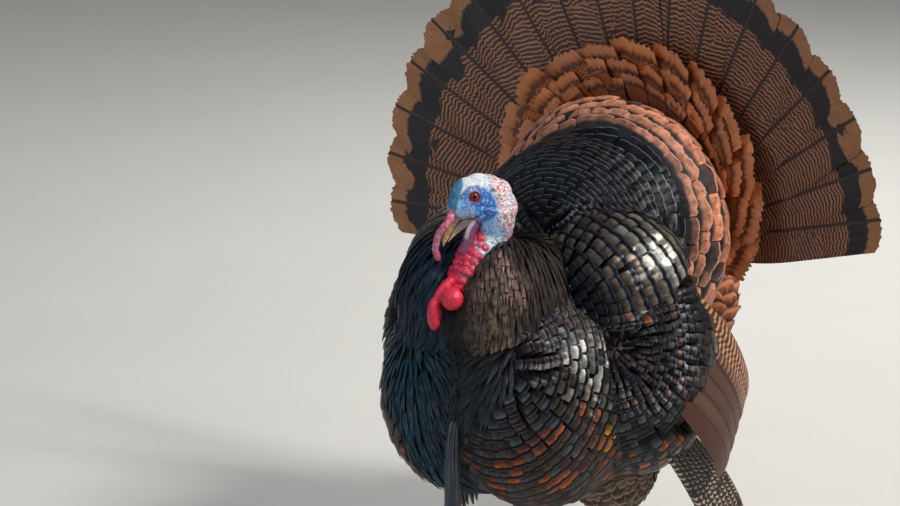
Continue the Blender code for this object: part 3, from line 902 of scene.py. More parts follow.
def make_wings():
    whole = wing_quill("secondary_quill", 20.0, 0.42, one_web=True)
    broken = wing_quill("primary_quill", 28.0, 0.40)
    chocolate, slate, fawn = (0.074, 0.033, 0.023), (0.045, 0.032, 0.028), (0.52, 0.28, 0.14)
    for side, word in SIDES:
        upper = panel(((0.192, -0.030, 0.275), (0.168, 0.060, 0.410)),
                      ((0.206, 0.060, 0.158), (0.194, 0.158, 0.262)), 0.046, 0.0, side)
        lower = panel(((0.188, -0.052, 0.250), (0.190, 0.060, 0.215)),
                      ((0.200, 0.118, 0.012), (0.196, 0.180, 0.046)), 0.008, 0.016, side)
        at = np.array((0.17, 0.34, 0.50, 0.66, 0.74, 0.81, 0.87, 0.92))
        cut = Cut(14, 20, root=-0.003, tip=0.001, camber=0.014, lap=-0.006, square=0.09, split=2.2,
                  narrow=0.55, ragged=0.006)
        obj = vanes(f"secondary_quills_{word}", upper(at), np.ones(len(at)),
                    np.linspace(0.42, 0.22, len(at)), cut, whole, row_patches(0 * at), 151,
                    plain(chocolate, at), mix(chocolate, (fawn, above(at, 0.55, 0.76))), side)
        attach(obj, "brown_quill", f"secondaries_{word}")
        at = (np.arange(8) + 0.5) / 8
        cut = Cut(12, 24, root=-0.002, tip=0.001, camber=0.016, lap=-0.012, square=0.10, split=2.0,
                  narrow=0.5, ragged=0.010)
        length = np.random.default_rng(160).uniform(0.90, 1.0, len(at))
        obj = vanes(f"primary_quills_{word}", lower(at), length, np.full(len(at), 0.24), cut, broken,
                    row_patches(0 * at), 161, plain(slate, at),
                    mix((0.54, 0.47, 0.39), (BUFF, 0.2 * length)), side)
        attach(obj, "barred_feather", f"primaries_{word}")


# ---------------------------------------------------------------- rods and fused masses


def smooth_line(anchors, count):
    """Points along a Catmull-Rom curve through the anchors."""
    rows = [Vector(a) for a in anchors]
    rows = [2 * rows[0] - rows[1], *rows, 2 * rows[-1] - rows[-2]]
    spans, found = len(rows) - 3, []
    for i in range(count):
        at = i / (count - 1) * spans
        k = min(int(at), spans - 1)
        t = at - k
        a, b, c, d = rows[k : k + 4]
        found.append(0.5 * (2 * b + (c - a) * t + (2 * a - 5 * b + 4 * c - d) * t * t
                            + (3 * b - a - 3 * c + d) * t**3))
    return found


def eased(values, count):
    """Numbers along a Catmull-Rom curve through the values."""
    return [point.x for point in smooth_line([(value, 0, 0) for value in values], count)]


def on_line(line, share):
    """The place at that share along a line of points, and the number of the stretch it is on."""
    at = share * (len(line) - 1)
    k = min(int(at), len(line) - 2)
    return line[k].lerp(line[k + 1], min(at - k, 1.0)), k


def loft(work, rings):
    """Joins a chain of rings of vertices into a closed solid."""
    for first, second in zip(rings, rings[1:]):
        for k in range(len(first)):
            after = (k + 1) % len(first)
            work.faces.new((first[k], first[after], second[after], second[k]))
    work.faces.new(rings[0][::-1])
    work.faces.new(rings[-1])


def rod(work, points, radii, sides, side_axis=(1, 0, 0), flat=1.0):
    """A closed rod in the bmesh. flat is its height over its width; side_axis points across."""
    points = [Vector(p) for p in points]
    turns = [2 * math.pi * k / sides for k in range(sides)]
    rings = []
    for i, (point, radius) in enumerate(zip(points, radii)):
        along = (points[min(i + 1, len(points) - 1)] - points[max(i - 1, 0)]).normalized()
        up = along.cross(Vector(side_axis)).normalized()
        across = up.cross(along)
        outline = (math.cos(t) * across + flat * math.sin(t) * up for t in turns)
        rings.append([work.verts.new(point + radius * way) for way in outline])
    loft(work, rings)


def ball(work, centre, radii, turn=None, rings=16):
    place = Matrix.Translation(Vector(centre)) @ (turn.to_4x4() if turn else Matrix())
    place = place @ Matrix.Diagonal(Vector(radii)).to_4x4()
    bmesh.ops.create_uvsphere(work, u_segments=2 * rings, v_segments=rings, radius=1.0, matrix=place)


def solidified(work, name):
    """An object of the bmesh, its faces turned outwards."""
    bmesh.ops.recalc_face_normals(work, faces=work.faces)
    mesh = bpy.data.meshes.new(name)
    work.to_mesh(mesh)
    work.free()
    return link(name, mesh)


def finished(work, name, made):
    """An object of the bmesh and the material, moved to the model's place."""
    work.transform(Matrix.Translation(Vector(SHIFT)))
    obj = solidified(work, name)
    obj.data.materials.append(made)
    obj.data.shade_smooth()
    return obj


def fused(work, name, voxel, soften):
    """The bmesh's overlapping forms as one surface."""
    obj = solidified(work, name)
    remesh = obj.modifiers.new("fuse", "REMESH")
    remesh.mode = "VOXEL"
    remesh.voxel_size = voxel
    smooth = obj.modifiers.new("soften", "SMOOTH")
    smooth.iterations = soften
    smooth.factor = 0.5
    bpy.context.view_layer.update()
    graph = bpy.context.evaluated_depsgraph_get()
    mesh = bpy.data.meshes.new_from_object(obj.evaluated_get(graph))
    obj.modifiers.clear()
    obj.data = mesh
    return obj


def read(mesh, field):
    """Each vertex's place, for "co", or its normal."""
    found = np.empty(len(mesh.vertices) * 3, np.float32)
    mesh.vertices.foreach_get(field, found)
    return found.reshape(-1, 3).astype(float)


def move_to(mesh, points):
    mesh.vertices.foreach_set("co", points.astype(np.float32).ravel())
    mesh.update()


def wild(points, scale, octaves=2):
    """Smooth noise at each point, about -1 to 1, with features 1/scale across."""
    total, size = np.zeros(len(points)), 1.0
    for octave in range(octaves):
        at = np.asarray(points) * scale * 2**octave + 100.0
        cell = np.floor(at).astype(np.int64)
        share = at - cell
        share = share * share * (3 - 2 * share)
        for corner in np.ndindex(2, 2, 2):
            x, y, z = (cell + corner).T
            mixed = (x * 73856093) ^ (y * 19349663) ^ (z * 83492791)
            mixed = (mixed ^ (mixed >> 13)) * 1274126177 & 0x7FFFFFFF
            weight = np.where(corner, share, 1 - share).prod(axis=1)
            total += size * weight * (mixed / 0x3FFFFFFF - 1)
        size /= 2
    return total


# ---------------------------------------------------------------- skin, head and legs

EYE_AXIS = Vector((1.0, -0.16, 0.06)).normalized()
IRIS_RADIUS = 0.0062
BEHIND = 2.0  # added to the share on an eye's far half, to keep it dark
HORN_STEPS = 16
NECK = smooth_line(
    [in_head((0.0, 0.014, -0.012)), (0.011, -0.133, 0.488), (0.004, -0.159, 0.458),
     (-0.003, -0.172, 0.425), (-0.002, -0.150, 0.385)], 40)
NECK_RADII = [0.0265 - 0.0085 * (i / 39) ** 1.2 for i in range(40)]
SNOOD = smooth_line(
    [in_head((0.0, -0.028, 0.0150)), in_head((0.0, -0.0385, 0.0110)), (-0.0110, -0.1935, 0.5140),
     (-0.0205, -0.1998, 0.4990), (-0.0262, -0.1995, 0.4800), (-0.0272, -0.1930, 0.4640)], 40)
SNOOD_RADII = [0.0105, 0.0086, 0.0066, 0.0054, 0.0046, 0.0043, 0.0042, 0.0042, 0.0041, 0.0032]
BULBS = (
    ((0.001, -0.2030, 0.4195), (0.0150, 0.0130, 0.0150)),
    ((-0.0195, -0.2120, 0.3990), (0.0088, 0.0092, 0.0215)),
)


def neck_place(t, turn, out=0.0):
    """A place on the neck at share t down it, turned from its front towards the bird's left, and
    its frame there: across, along and outwards."""
    point, k = on_line(NECK, t)
    along = (NECK[k + 1] - NECK[k]).normalized()
    left = along.cross(Vector((0.35, 1.0, 0.0))).normalized()
    front = along.cross(left)
    away = math.cos(turn) * front + math.sin(turn) * left
    frame = Matrix((away.cross(along), along, away)).transposed()
    return point + (NECK_RADII[k] + out) * away, frame


def neck_lumps():
    """Rows of fleshy lumps round the front of the neck, larger towards its foot: place, frame
    and half-lengths."""
    rng = np.random.default_rng(5)
    found = []
    for row in range(12):
        t = 0.27 + 0.050 * row
        size = 0.0032 + 0.0010 * min(1, row / 4)
        for turn in range(-120, 121, 22):
            share = t + rng.uniform(-0.010, 0.010)
            angle = turn + 11 * (row % 2) + rng.uniform(-5, 5)
            if angle > 10 + 22 * row:
                continue
            spot, frame = neck_place(min(share, 0.99), math.radians(angle), -0.0004)
            found.append((spot, frame, Vector((1.22, 0.96, 0.68)) * size * rng.uniform(0.70, 1.32)))
    return found


# Folds of loose skin: the web between the bulbs, a small one behind the bill, and the throat.
WEB = smooth_line([(-0.006, -0.1920, 0.4400), (-0.012, -0.2040, 0.4310), (-0.018, -0.2100, 0.4150)], 10)
DEWLAP = smooth_line(
    [in_head((0.008, -0.0255, -0.0125)), in_head((0.008, -0.0360, -0.0165)),
     in_head((0.007, -0.0445, -0.0235))], 16)
THROAT = smooth_line(
    [in_head((0.0, -0.0180, -0.0140)), in_head((0.0, -0.0340, -0.0215)),
     in_head((0.0, -0.0440, -0.0310)), neck_place(0.50, 0.0)[0]], 16)
FOLDS = (WEB, 0.0060, 12), (DEWLAP, 0.0026, 12), (THROAT, 0.0080, 16)  # line, radius, sides

SKULL = (  # centre and half-lengths in the head's frame
    ((0.0, 0.007, 0.005), (0.0200, 0.0270, 0.0246)),
    ((0.0, -0.010, 0.0150), (0.0186, 0.0250, 0.0244)),
    ((0.0, 0.004, 0.0125), (0.0175, 0.0215, 0.0228)),
    ((0.0, -0.018, 0.011), (0.0178, 0.0252, 0.0205)),
    ((0.0, -0.024, 0.004), (0.0104, 0.0190, 0.0098)),
    ((0.0, -0.004, -0.012), (0.0150, 0.0240, 0.0115)),
    ((0.0, 0.020, -0.003), (0.0188, 0.0195, 0.0195)),
    ((0.0, 0.016, -0.018), (0.0195, 0.0205, 0.0240)),
)
SKULL_SIDES = (  # brow and cheek
    ((0.0100, -0.006, 0.0225), (0.0060, 0.0170, 0.0050)),
    ((0.0110, -0.010, -0.0050), (0.0070, 0.0150, 0.0060)),
)
LID_AHEAD, LID_RADIUS, LID_THICK, LID_BALLS = 0.0036, 0.0068, 0.0012, 48
EAR_AT = np.array((0.0205, 0.0159, 0.0075))


def head_surface():
    """The bare head and neck, with lid rings, snood, bulbs, folds and lumps, fused into one."""
    work = bmesh.new()
    for centre, radii in SKULL:
        ball(work, centre, radii, rings=24)
    for centre, radii in SKULL_SIDES:
        for side, _ in SIDES:
            ball(work, mirrored(centre, side), radii, rings=24)
    for side, _ in SIDES:
        axis = mirrored(EYE_AXIS, side)
        centre = mirrored(EYE_AT, side) + LID_AHEAD * axis
        across = axis.cross(Vector((0, 0, 1))).normalized()
        up = across.cross(axis)
        for k in range(LID_BALLS):
            t = 2 * math.pi * k / LID_BALLS
            point = centre + LID_RADIUS * (1.06 * math.cos(t) * across + 0.94 * math.sin(t) * up)
            ball(work, point, [LID_THICK] * 3, rings=5)
    work.transform(Matrix.Translation(HEAD_AT) @ HEAD_TURN.to_4x4())
    rod(work, NECK, NECK_RADII, 32)
    rod(work, SNOOD, eased(SNOOD_RADII, len(SNOOD)), 16)
    ball(work, SNOOD[-1], [SNOOD_RADII[-1]] * 3, rings=8)
    for centre, radii in BULBS:
        ball(work, centre, radii, rings=24)
    for line, radius, sides in FOLDS:
        rod(work, line, [radius] * len(line), sides)
    for spot, frame, radii in neck_lumps():
        ball(work, spot, radii, frame, rings=8)
    return fused(work, "head_surface", 0.0008, 3)


def near(points, centre, radius):
    """1 at the centre, falling smoothly to 0 at the radius."""
    away = np.linalg.norm(points - np.array(centre), axis=1) / radius
    return np.clip(1 - away, 0, 1) ** 2 * (3 - 2 * np.clip(1 - away, 0, 1))


def ramp(value, low, high):
    t = np.clip((value - low) / (high - low), 0, 1)
    return t * t * (3 - 2 * t)


def line_gap(points, line):
    """Distance of each point from a line of points, and how far along it that is, 0 to 1."""
    line = np.array([tuple(p) for p in line])
    best, share = np.full(len(points), 9.0), np.zeros(len(points))
    for k, (a, b) in enumerate(zip(line, line[1:])):
        t = np.clip(((points - a) @ (b - a)) / ((b - a) @ (b - a)), 0, 1)
        away = np.linalg.norm(points - a - t[:, None] * (b - a), axis=1)
        closer = away < best
        best[closer], share[closer] = away[closer], ((k + t) / (len(line) - 1))[closer]
    return best, share


def into_head(points):
    """Places in the bird's frame, in the head's own."""
    return (points - np.array(HEAD_AT)) @ np.array(HEAD_TURN)


def from_eye(local, side):
    """How far head places lie out along an eye's axis, and how far off that axis."""
    axis = np.array(mirrored(EYE_AXIS, side))
    away = local - np.array(mirrored(EYE_AT, side))
    out = away @ axis
    return out, np.linalg.norm(away - out[:, None] * axis, axis=1)


def shape_head(obj):
    """Eye sockets, ear pits and pores, as moves of the surface."""
    points, normals = read(obj.data, "co"), read(obj.data, "normal")
    local = into_head(points)
    for side, _ in SIDES:
        out, off = from_eye(local, side)
        dent = 0.0042 * (1 - ramp(off, 0.0050, 0.0064)) * (out > 0)
        local -= dent[:, None] * np.array(mirrored(EYE_AXIS, side))
        local -= (0.0022 * near(local, EAR_AT * (side, 1, 1), 0.0042))[:, None] * (side, 0, 0)
    points = local @ np.array(HEAD_TURN).T + np.array(HEAD_AT)
    move = 0.00025 * wild(points, 420.0) + 0.00040 * wild(points, 130.0)
    gap, _ = line_gap(points, SNOOD)
    move += 0.0003 * wild(points, 500.0) * (gap < 0.008)
    move_to(obj.data, points + normals * move[:, None])


GAPE_AT = np.array((0.0125, -0.0190, -0.0076))
TOE_PADS = (  # share along the toe, and thickness there over the toe's own
    (0.0, 1.20), (0.15, 1.05), (0.3, 0.90), (0.42, 0.98),
    (0.62, 0.90), (0.74, 0.97), (0.9, 0.84), (1.0, 0.60),
)
SHANK_SCUTE, TOE_SCUTE = 0.0046, 0.0042  # length of one scute

WHITE_SKIN = (0.62, 0.68, 0.72)
SKY_SKIN = (0.150, 0.400, 0.680)
TEAL_SHADE = (0.014, 0.165, 0.320)
BLUE_SKIN = (0.004, 0.135, 0.470)
NAVY_SKIN = (0.010, 0.045, 0.200)
CRIMSON_SKIN = (0.600, 0.012, 0.045)
ROSE_SKIN = (0.660, 0.180, 0.240)
EMBER_SKIN = (0.640, 0.070, 0.024)
MAUVE_SKIN = (0.300, 0.100, 0.210)
PURPLE_SKIN = (0.130, 0.012, 0.060)
DUSK_SKIN = (0.075, 0.048, 0.036)


def paint_head(points):
    """The bare head's markings: white crown, blue face, crimson lumps, snood and bulbs."""
    local = into_head(points)
    _, y, z = local.T
    rough, fleck, fine = wild(points, 160.0), wild(points, 650.0), wild(points, 380.0)
    _, down = line_gap(points, NECK)
    bare = ramp(down, 0.16, 0.24)

    # the face's oval round the eye, the white crown over it, and the teal strip before it: painted shade
    # on the forehead
    oval = np.hypot((y + 0.0090) / 0.0215, (z - 0.0030) / 0.0245) + 0.05 * rough
    face = 1 - ramp(oval, 0.90, 1.05)
    strip = ramp(z - 0.81 * y + 0.001 * rough, 0.0405, 0.0450) * (y < 0)
    lores = 1 - ramp(np.linalg.norm((local - (0, -0.028, -0.001)) / (3, 1, 1), axis=1), 0.007, 0.014)
    tone = mix(WHITE_SKIN,
               (SKY_SKIN, 0.75 * ramp(-y - 0.3 * z, 0.004, 0.014) * (1 - bare)),
               (SKY_SKIN, 0.9 * hill(oval, 0.95, 0.14) * (z < 0.018)),
               (BLUE_SKIN, 0.97 * face),
               (SKY_SKIN, 0.45 * face * ramp(-y, 0.012, 0.026)),
               (TEAL_SHADE, strip),
               (NAVY_SKIN, 0.9 * hill(oval, 0.98, 0.06) * ramp(z, 0.018, 0.023)),
               ((0.34, 0.36, 0.50), 0.8 * lores),
               (WHITE_SKIN, 0.55 * ramp(fleck, 0.30, 0.50) * face),
               (NAVY_SKIN, 0.6 * ramp(-fleck, 0.30, 0.50) * face))

    # grey flecks on the crown, blue ones and red dashes on the nape
    nape = np.maximum(ramp(y - 0.25 * z, 0.007, 0.013), ramp(-z, 0.017, 0.024))
    dashes = ramp(wild(points * (0.5, 0.5, 1.4), 520.0), 0.17, 0.30)
    dashes *= np.maximum(ramp(y - 0.30 * z, 0.009, 0.020), ramp(-z, 0.024, 0.032) * (y > -0.004))
    tone = mix(tone,
               ((0.26, 0.32, 0.42), 0.45 * ramp(-fleck, 0.20, 0.50) * ramp(z, 0.012, 0.020)),
               ((0.08, 0.14, 0.36), 0.75 * ramp(wild(points + 0.1, 560.0), 0.16, 0.36) * nape),
               (EMBER_SKIN, 0.95 * dashes * (1 - ramp(down, 0.45, 0.60))))

    # the neck: mottled blue, purple in front and under the throat, crimson below and on the lumps.
    # The purple in front is also painted shade on the side turned from the light; purple round
    # each lump is painted shade in the creases, and rose on their tops a painted highlight
    front = [neck_place(t, math.radians(-25))[0] for t in np.linspace(0.15, 1, 12)]
    gap, _ = line_gap(points, front)
    throat, _ = line_gap(points, THROAT)
    loose = 1 - ramp(throat + 0.001 * rough, 0.0084, 0.0125)
    lump = np.min([np.linalg.norm((points - np.array(spot)) @ np.array(frame) / np.array(radii), axis=1)
                   for spot, frame, radii in neck_lumps()], axis=0)
    web, _ = line_gap(points, WEB)
    fold, _ = line_gap(points, DEWLAP)
    tone = mix(tone,
               ((0.13, 0.22, 0.44), 0.7 * bare * ramp(rough + 0.6 * fine, 0.0, 0.4)),
               (PURPLE_SKIN, 0.95 * bare * (1 - ramp(gap, 0.014, 0.026))),
               (mix(PURPLE_SKIN, (MAUVE_SKIN, [0.05])), 0.95 * loose),
               ((0.11, 0.06, 0.24), 0.25 * loose * ramp(fine, 0.1, 0.4)),
               (CRIMSON_SKIN, 0.85 * ramp(down + 0.04 * rough, 0.62, 0.78)),
               (PURPLE_SKIN, 0.75 * (1 - ramp(lump, 1.2, 1.7))),
               (CRIMSON_SKIN, 1 - ramp(lump, 0.95, 1.22)),
               (ROSE_SKIN, 0.45 * (1 - ramp(lump, 0.5, 1.05)) * ramp(fleck, -0.1, 0.4)),
               (CRIMSON_SKIN, 1 - ramp(web, 0.010, 0.014)),
               (mix(MAUVE_SKIN, (WHITE_SKIN, [0.32])), 0.85 * (1 - ramp(fold, 0.0026, 0.0040))))

    gap, along = line_gap(points, SNOOD)
    snood = (1 - ramp(gap, 0.0085, 0.0105)) * ramp(along, 0.03, 0.16)
    snood *= 1 - ramp(gap - 0.006, 0, 0.004) * ramp(along, 0.3, 0.4)
    tone = mix(tone,
               (mix(MAUVE_SKIN, (ROSE_SKIN, [0.25])), snood),
               (CRIMSON_SKIN, 0.65 * snood * ramp(rough + 0.5 * along, 0.15, 0.5)),
               (WHITE_SKIN, 0.6 * snood * ramp(fleck, 0.25, 0.5) * (1 - 0.5 * along)))
    # the rose flecks on the bulbs are painted highlights
    for centre, radii in BULBS:
        bulb = 1 - ramp(np.linalg.norm((points - centre) / np.array(radii), axis=1), 1.15, 1.45)
        tone = mix(tone, (CRIMSON_SKIN, bulb), (ROSE_SKIN, 0.12 * bulb * ramp(fleck, 0.0, 0.5)))

    for side, _ in SIDES:
        out, off = from_eye(local, side)
        tone = mix(tone,
                   ((0.20, 0.030, 0.060), 0.9 * (1 - ramp(off, 0.0076, 0.0086)) * (out > 0)),
                   (DUSK_SKIN, 1.5 * near(local, EAR_AT * (side, 1, 1), 0.0064)),
                   ((0.10, 0.015, 0.020), 1.6 * near(local, GAPE_AT * (side, 1, 1), 0.0050)))
    return np.clip(tone, 0, 1)


def toe_line(side, heading, length, thick):
    """A toe's middle line and its radii, where it ends, and which way it points."""
    heading = math.radians(heading)
    away = Vector((side * math.sin(heading), -math.cos(heading), 0.0))
    foot = mirrored(SOLE, side)
    line = [foot + away * (length * t) + Vector((0, 0, 0.8 * thick * share)) for t, share in TOE_PADS]
    return line, [thick * share for _, share in TOE_PADS], foot + away * length, away


def shank_line(side):
    """The shank's middle line from the feathers to the sole, and its radii."""
    ankle, foot = mirrored(ANKLE, side), mirrored(SOLE, side)
    stops = [ankle + Vector((0, -0.018, 0.044)), ankle + Vector((0, -0.010, 0.024)), ankle,
             ankle.lerp(foot, 0.35), ankle.lerp(foot, 0.75),
             foot + Vector((0, 0.002, 0.0205)), foot + Vector((0, 0, 0.0105))]
    return stops, [0.0105, 0.0110, 0.0118, 0.0082, 0.0080, 0.0105, 0.0100]


def leg_surface(side):
    """Shank and toes with their overlapping scutes, down to the flat of the sole."""
    work = bmesh.new()
    stops, radii = shank_line(side)
    rod(work, stops, radii, 16)
    scuted = [(stops[2:], SHANK_SCUTE)]
    for _, *toe in TOES:
        line, radii, _, _ = toe_line(side, *toe)
        rod(work, line, radii, 14, side_axis=(0.3, 0.2, 0.9))
        scuted.append((line, TOE_SCUTE))
    obj = fused(work, "leg_surface", 0.0011, 3)
    points, normals = read(obj.data, "co"), read(obj.data, "normal")
    best, move = np.full(len(points), 9.0), np.zeros(len(points))
    for line, pitch in scuted:
        gap, share = line_gap(points, line)
        long = sum((b - a).length for a, b in zip(line, line[1:]))
        step = (share * long / pitch) % 1.0
        closer = gap < best
        best[closer] = gap[closer]
        move[closer] = (0.0005 * (1 - step) ** 2)[closer]
    points += normals * move[:, None]
    points[:, 2] = np.maximum(points[:, 2], 0.0)
    move_to(obj.data, points)
    return obj


def body_surface():
    work = bmesh.new()
    for centre, radii in BODY:
        ball(work, centre, [r - COAT for r in radii])
    return fused(work, "body_surface", 0.006, 3)


def paint_leg(points):
    return mix((0.36, 0.17, 0.14), ((0.22, 0.12, 0.11), 0.6 * ramp(wild(points, 90.0), -0.1, 0.4)),
               ((0.14, 0.09, 0.08), 0.7 * ramp(-points[:, 2], -0.014, -0.002)))


def skin_material():
    shader = Shader("bare_skin", roughness=0.42, subsurface_weight=0.12, subsurface_scale=0.004)
    pores = shader.step(shader.noise(700.0), 0.3, 0.7, (0.80, 1.12))
    shader.bump(shader.noise(500.0, 3.0), 0.0006)
    return shader.colour(shader.scaled(shader.given("tint"), pores))


def make_skin():
    """One skin from crown to toes."""
    parts = [body_surface(), head_surface()]
    shape_head(parts[1])
    parts += [leg_surface(side) for side, _ in SIDES]
    body, head, *legs = (read(part.data, "co") for part in parts)
    colours = [plain((0.10, 0.075, 0.070), body), paint_head(head), *map(paint_leg, legs)]
    work = bmesh.new()
    for part in parts:
        work.from_mesh(part.data)
        bpy.data.objects.remove(part)
    work.transform(Matrix.Translation(Vector(SHIFT)))
    mesh = bpy.data.meshes.new("skin")
    work.to_mesh(mesh)
    work.free()
    mesh.materials.append(skin_material())
    mesh.shade_smooth()
    obj = link("skin", mesh)
    give(obj, "tint", np.concatenate(colours))
    paired = (f"{part}_{word}" for part in ("caruncle", "shoulder", "wing", "thigh", "shank", "foot")
              for _, word in SIDES)
    attach(obj, "blue_skin", "trunk", "rump", "head", "neck", "snood", *paired)


def horn_material(name, pale, dark):
    """Layered horn, in patches and growth lines."""
    shader = Shader(name, roughness=0.32)
    grown = shader.noise(900.0)
    tone = shader.blend(shader.step(shader.noise(120.0, 3.0), 0.35, 0.65), pale, dark)
    tone = shader.blend(shader.step(grown, 0.4, 0.7, (0.0, 0.35)), tone, [c * 0.5 for c in dark])
    shader.bump(grown, 0.0002)
    return shader.colour(tone)


def horn_rod(name, anchors, radii, made, node, axis=(1, 0, 0), flat=1.0):
    """A finely lofted point of horn along anchors, its radii eased between them."""
    work = bmesh.new()
    radii = [max(radius, 0.0004) for radius in eased(radii, HORN_STEPS)]
    rod(work, smooth_line(anchors, HORN_STEPS), radii, 16, axis, flat)
    obj = finished(work, name, made)
    obj.data.set_sharp_from_angle(angle=math.radians(60))
    attach(obj, "horn", node)


def mandible(name, stations, made, node):
    """Horn lofted through stations along the head: y, then top, bottom and half-width."""
    work = bmesh.new()
    count, sides = 48, 32
    along, top, low, half = (eased(values, count) for values in zip(*stations))
    rings = []
    for y, high, under, wide in zip(along, top, low, half):
        ring = []
        for k in range(sides):
            c, s = math.cos(2 * math.pi * k / sides), math.sin(2 * math.pi * k / sides)
            x = wide * math.copysign(abs(c) ** 0.8, c)
            up = s if s > 0 else -abs(s) ** 0.5
            ring.append(work.verts.new(in_head((x, y, (high + under) / 2 + (high - under) / 2 * up))))
        rings.append(ring)
    loft(work, rings)
    obj = finished(work, name, made)
    _, y, z = into_head(read(obj.data, "co") - SHIFT).T
    ahead, _, low, _ = zip(*stations)
    rim = 1 - ramp(np.abs(z - np.interp(-y, [-place for place in ahead], low)), 0.0010, 0.0026)
    give(obj, "tint", mix((0.150, 0.125, 0.125), ((0.42, 0.24, 0.10), ramp(-y, 0.044, 0.056)),
                          ((0.62, 0.50, 0.42), 0.8 * rim)))
    attach(obj, "horn", node)


def make_bill():
    """The bill, just parted along its cutting edges."""
    shader = Shader("bill_horn", roughness=0.30)
    streaks = shader.noise(260.0, 3.0)
    share = shader.step(streaks, 0.42, 0.68, (0.0, 0.6))
    shader.bump(streaks, 0.0003)
    horn = shader.colour(shader.blend(share, shader.given("tint"), (0.10, 0.065, 0.045)))
    mandible("bill_upper_horn", (
        (-0.0180, -0.0035, -0.0072, 0.0112), (-0.0264, 0.0025, -0.0036, 0.0110),
        (-0.0361, 0.0085, -0.0018, 0.0096), (-0.0420, 0.0100, -0.0028, 0.0084),
        (-0.0480, 0.0085, -0.0048, 0.0072), (-0.0536, 0.0050, -0.0073, 0.0062),
        (-0.0610, 0.0000, -0.0112, 0.0047), (-0.0665, -0.0050, -0.0140, 0.0032),
        (-0.0705, -0.0100, -0.0160, 0.0018), (-0.0727, -0.0150, -0.0172, 0.0005)), horn, "bill_upper")
    mandible("bill_lower_horn", (
        (-0.0180, -0.0076, -0.0140, 0.0108), (-0.0264, -0.0039, -0.0140, 0.0102),
        (-0.0361, -0.0020, -0.0138, 0.0090), (-0.0447, -0.0036, -0.0136, 0.0074),
        (-0.0536, -0.0076, -0.0140, 0.0056), (-0.0600, -0.0112, -0.0152, 0.0038),
        (-0.0645, -0.0142, -0.0164, 0.0012)), horn, "bill_lower")


def make_eyes():
    """Dark pupil, red-brown iris and a dark rim, by the share of the way out from the axis."""
    shader = Shader("eye", roughness=0.06, specular_ior_level=0.12, coat_weight=0.25, coat_roughness=0.02)
    ring = shader.given("ring", shader.NUMBER)
    iris = shader.blend(shader.noise(900.0, 3.0), (0.070, 0.014, 0.005), (0.200, 0.050, 0.016))
    tone = shader.blend(shader.step(ring, 0.36, 0.44), (0.002, 0.004, 0.010), iris)
    made = shader.colour(shader.blend(shader.step(ring, 0.86, 0.96), tone, (0.020, 0.010, 0.008)))
    for side, word in SIDES:
        centre, look = in_head(mirrored(EYE_AT, side)), HEAD_TURN @ mirrored(EYE_AXIS, side)
        work = bmesh.new()
        ball(work, centre, [EYE_RADIUS] * 3, rings=32)
        rings = []
        for vert in work.verts:
            away = vert.co - centre
            out = away.dot(look)
            rings.append((away - out * look).length / IRIS_RADIUS + (BEHIND if out < 0 else 0.0))
        obj = finished(work, f"eyeball_{word}", made)
        give(obj, "ring", rings)
        attach(obj, "eye", f"eye_{word}")


def make_claws():
    claw = horn_material("claw_horn", (0.10, 0.075, 0.060), (0.040, 0.030, 0.026))
    spur = horn_material("spur_horn", (0.13, 0.09, 0.07), (0.035, 0.026, 0.024))
    for side, word in SIDES:
        root, back = mirrored(ANKLE, side).lerp(mirrored(SOLE, side), 0.62), Vector((0, 1, -0.1))
        line = [root + back * out + Vector((0, 0, up))
                for out, up in ((0.001, 0.0), (0.014, 0.0005), (0.026, 0.005))]
        horn_rod(f"spur_horn_{word}", line, (0.0054, 0.0036, 0.0006), spur, f"spur_{word}")
        for name, *toe in TOES:
            _, _, tip, away = toe_line(side, *toe)
            line = [tip + away * out + Vector((0, 0, up))
                    for out, up in ((-0.006, 0.0056), (0.006, 0.0062), (0.015, 0.0014))]
            horn_rod(f"claw_horn_{name}_{word}", line, (0.0042, 0.0034, 0.0006), claw,
                     f"claw_{name}_{word}", axis=(0.0, 0.0, 1.0), flat=0.9)


def make_beard():
    """A hanging tuft of stiff bristles, tight at the root and spread below."""
    rng = np.random.default_rng(201)
    core = smooth_line([(0.0, -0.168, 0.286), (0.001, -0.195, 0.264), (0.003, -0.206, 0.220),
                        (0.004, -0.207, 0.150), (0.004, -0.203, 0.055)], 14)
    points, corners, sizes = [], [], []
    bristles, sides, steps = 190, 4, len(core)
    for _ in range(bristles):
        turn, out = rng.uniform(0, 2 * math.pi), math.sqrt(rng.random())
        wave, end = rng.uniform(0, 6), rng.uniform(0.80, 1.02)
        base = len(points)
        for i in range(steps):
            t = i / (steps - 1)
            centre, _ = on_line(core, t * end)
            wide = 0.0030 + 0.0100 * t**1.2
            away = Vector((math.cos(turn), 0.75 * math.sin(turn), 0)) * out * wide
            away += Vector((math.sin(wave + 5 * t), math.cos(wave + 4 * t), 0)) * 0.0012 * t
            size = 0.00075 * (1 - 0.75 * t**3)
            for k in range(sides):
                angle = 2 * math.pi * k / sides + turn
                way = Vector((math.cos(angle), math.sin(angle), 0))
                points.append(tuple(centre + away + size * way))
        for i in range(steps - 1):
            for k in range(sides):
                a, b = base + i * sides + k, base + i * sides + (k + 1) % sides
                corners += [a, a + sides, b + sides, b]
                sizes.append(4)
        corners += [base + k for k in range(sides)]
        corners += [base + (steps - 1) * sides + k for k in reversed(range(sides))]
        sizes += [sides, sides]
    shader = Shader("beard_bristle", roughness=0.42)
    made = shader.colour(shader.blend(shader.noise(40.0), (0.014, 0.016, 0.020), (0.110, 0.122, 0.150)))
    obj = mesh_object("beard_bristles", np.array(points), corners, sizes, made)
    attach(obj, "black_feather", "beard")


# ---------------------------------------------------------------- stage

CAMERA_AZIMUTH = math.radians(35.2)
CAMERA_HEIGHT = math.radians(14.0)
CAMERA_AWAY = 7.65
CAMERA_LOOKS_AT = Vector((-0.102, -0.061, 0.434))
LENS = 240.9


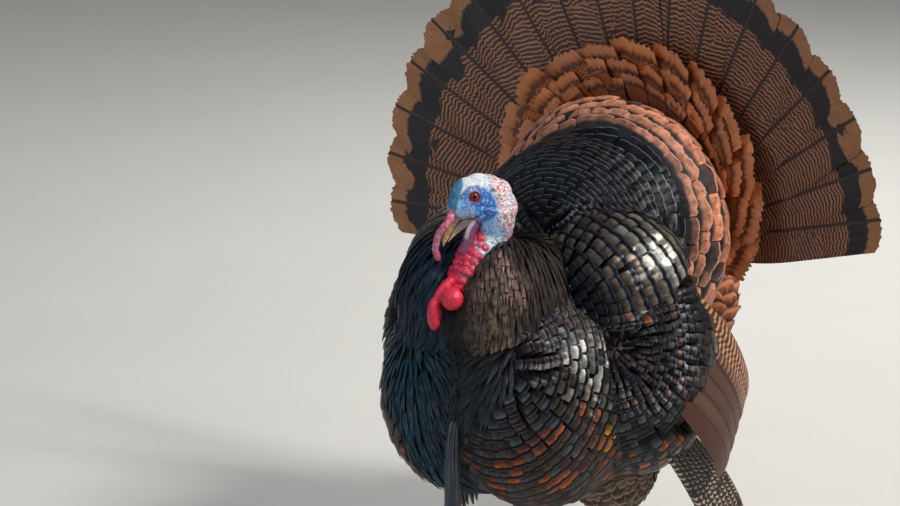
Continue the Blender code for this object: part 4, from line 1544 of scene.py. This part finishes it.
def aim(name, data, at, target):
    obj = link(name, data)
    obj.location = at
    obj.rotation_euler = (Vector(target) - Vector(at)).to_track_quat("-Z", "Y").to_euler()
    return obj


def set_stage():
    """The camera, a soft key, fill and rim light, a pale room and the floor."""
    back = Vector((math.sin(CAMERA_AZIMUTH) * math.cos(CAMERA_HEIGHT),
                   -math.cos(CAMERA_AZIMUTH) * math.cos(CAMERA_HEIGHT), math.sin(CAMERA_HEIGHT)))
    right = Vector((math.cos(CAMERA_AZIMUTH), math.sin(CAMERA_AZIMUTH), 0))
    target = CAMERA_LOOKS_AT + Vector(SHIFT)
    lens = bpy.data.cameras.new("camera")
    lens.lens, lens.sensor_width, lens.clip_end = LENS, 36.0, 60.0
    scene = bpy.context.scene
    scene.camera = aim("camera", lens, target + CAMERA_AWAY * back, target)
    scene.view_settings.view_transform = "Standard"
    heart = Vector((0, 0, 0.4))
    for name, nearer, sideways, up, size, power, colour in (
        ("key", 1.5, 2.2, 2.3, 0.9, 165, (1.0, 0.95, 0.88)),
        ("fill", 2.2, -2.4, 0.8, 2.2, 34, (0.72, 0.84, 1.0)),
        ("rim", -2.4, 1.0, 2.2, 1.4, 60, (1.0, 0.97, 0.92)),
    ):
        lamp = bpy.data.lights.new(name, "AREA")
        lamp.size, lamp.energy, lamp.color = size, power, colour
        aim(name, lamp, heart + nearer * back + sideways * right + Vector((0, 0, up)), heart)
    scene.world = bpy.data.worlds.new("studio")
    scene.world.use_nodes = True
    glow = scene.world.node_tree.nodes["Background"].inputs
    glow["Color"].default_value = (0.92, 0.95, 1.0, 1.0)
    glow["Strength"].default_value = 0.22
    work = bmesh.new()
    bmesh.ops.create_grid(work, x_segments=1, y_segments=1, size=30.0)
    floor = solidified(work, "floor")
    shader = Shader("floor", roughness=0.85)
    tone = shader.blend(shader.noise(3.0), (0.50, 0.50, 0.48), (0.55, 0.55, 0.53))
    floor.data.materials.append(shader.colour(tone))


make_plumage()
make_tail()
make_wings()
make_beard()
make_skin()
make_bill()
make_eyes()
make_claws()
set_stage()
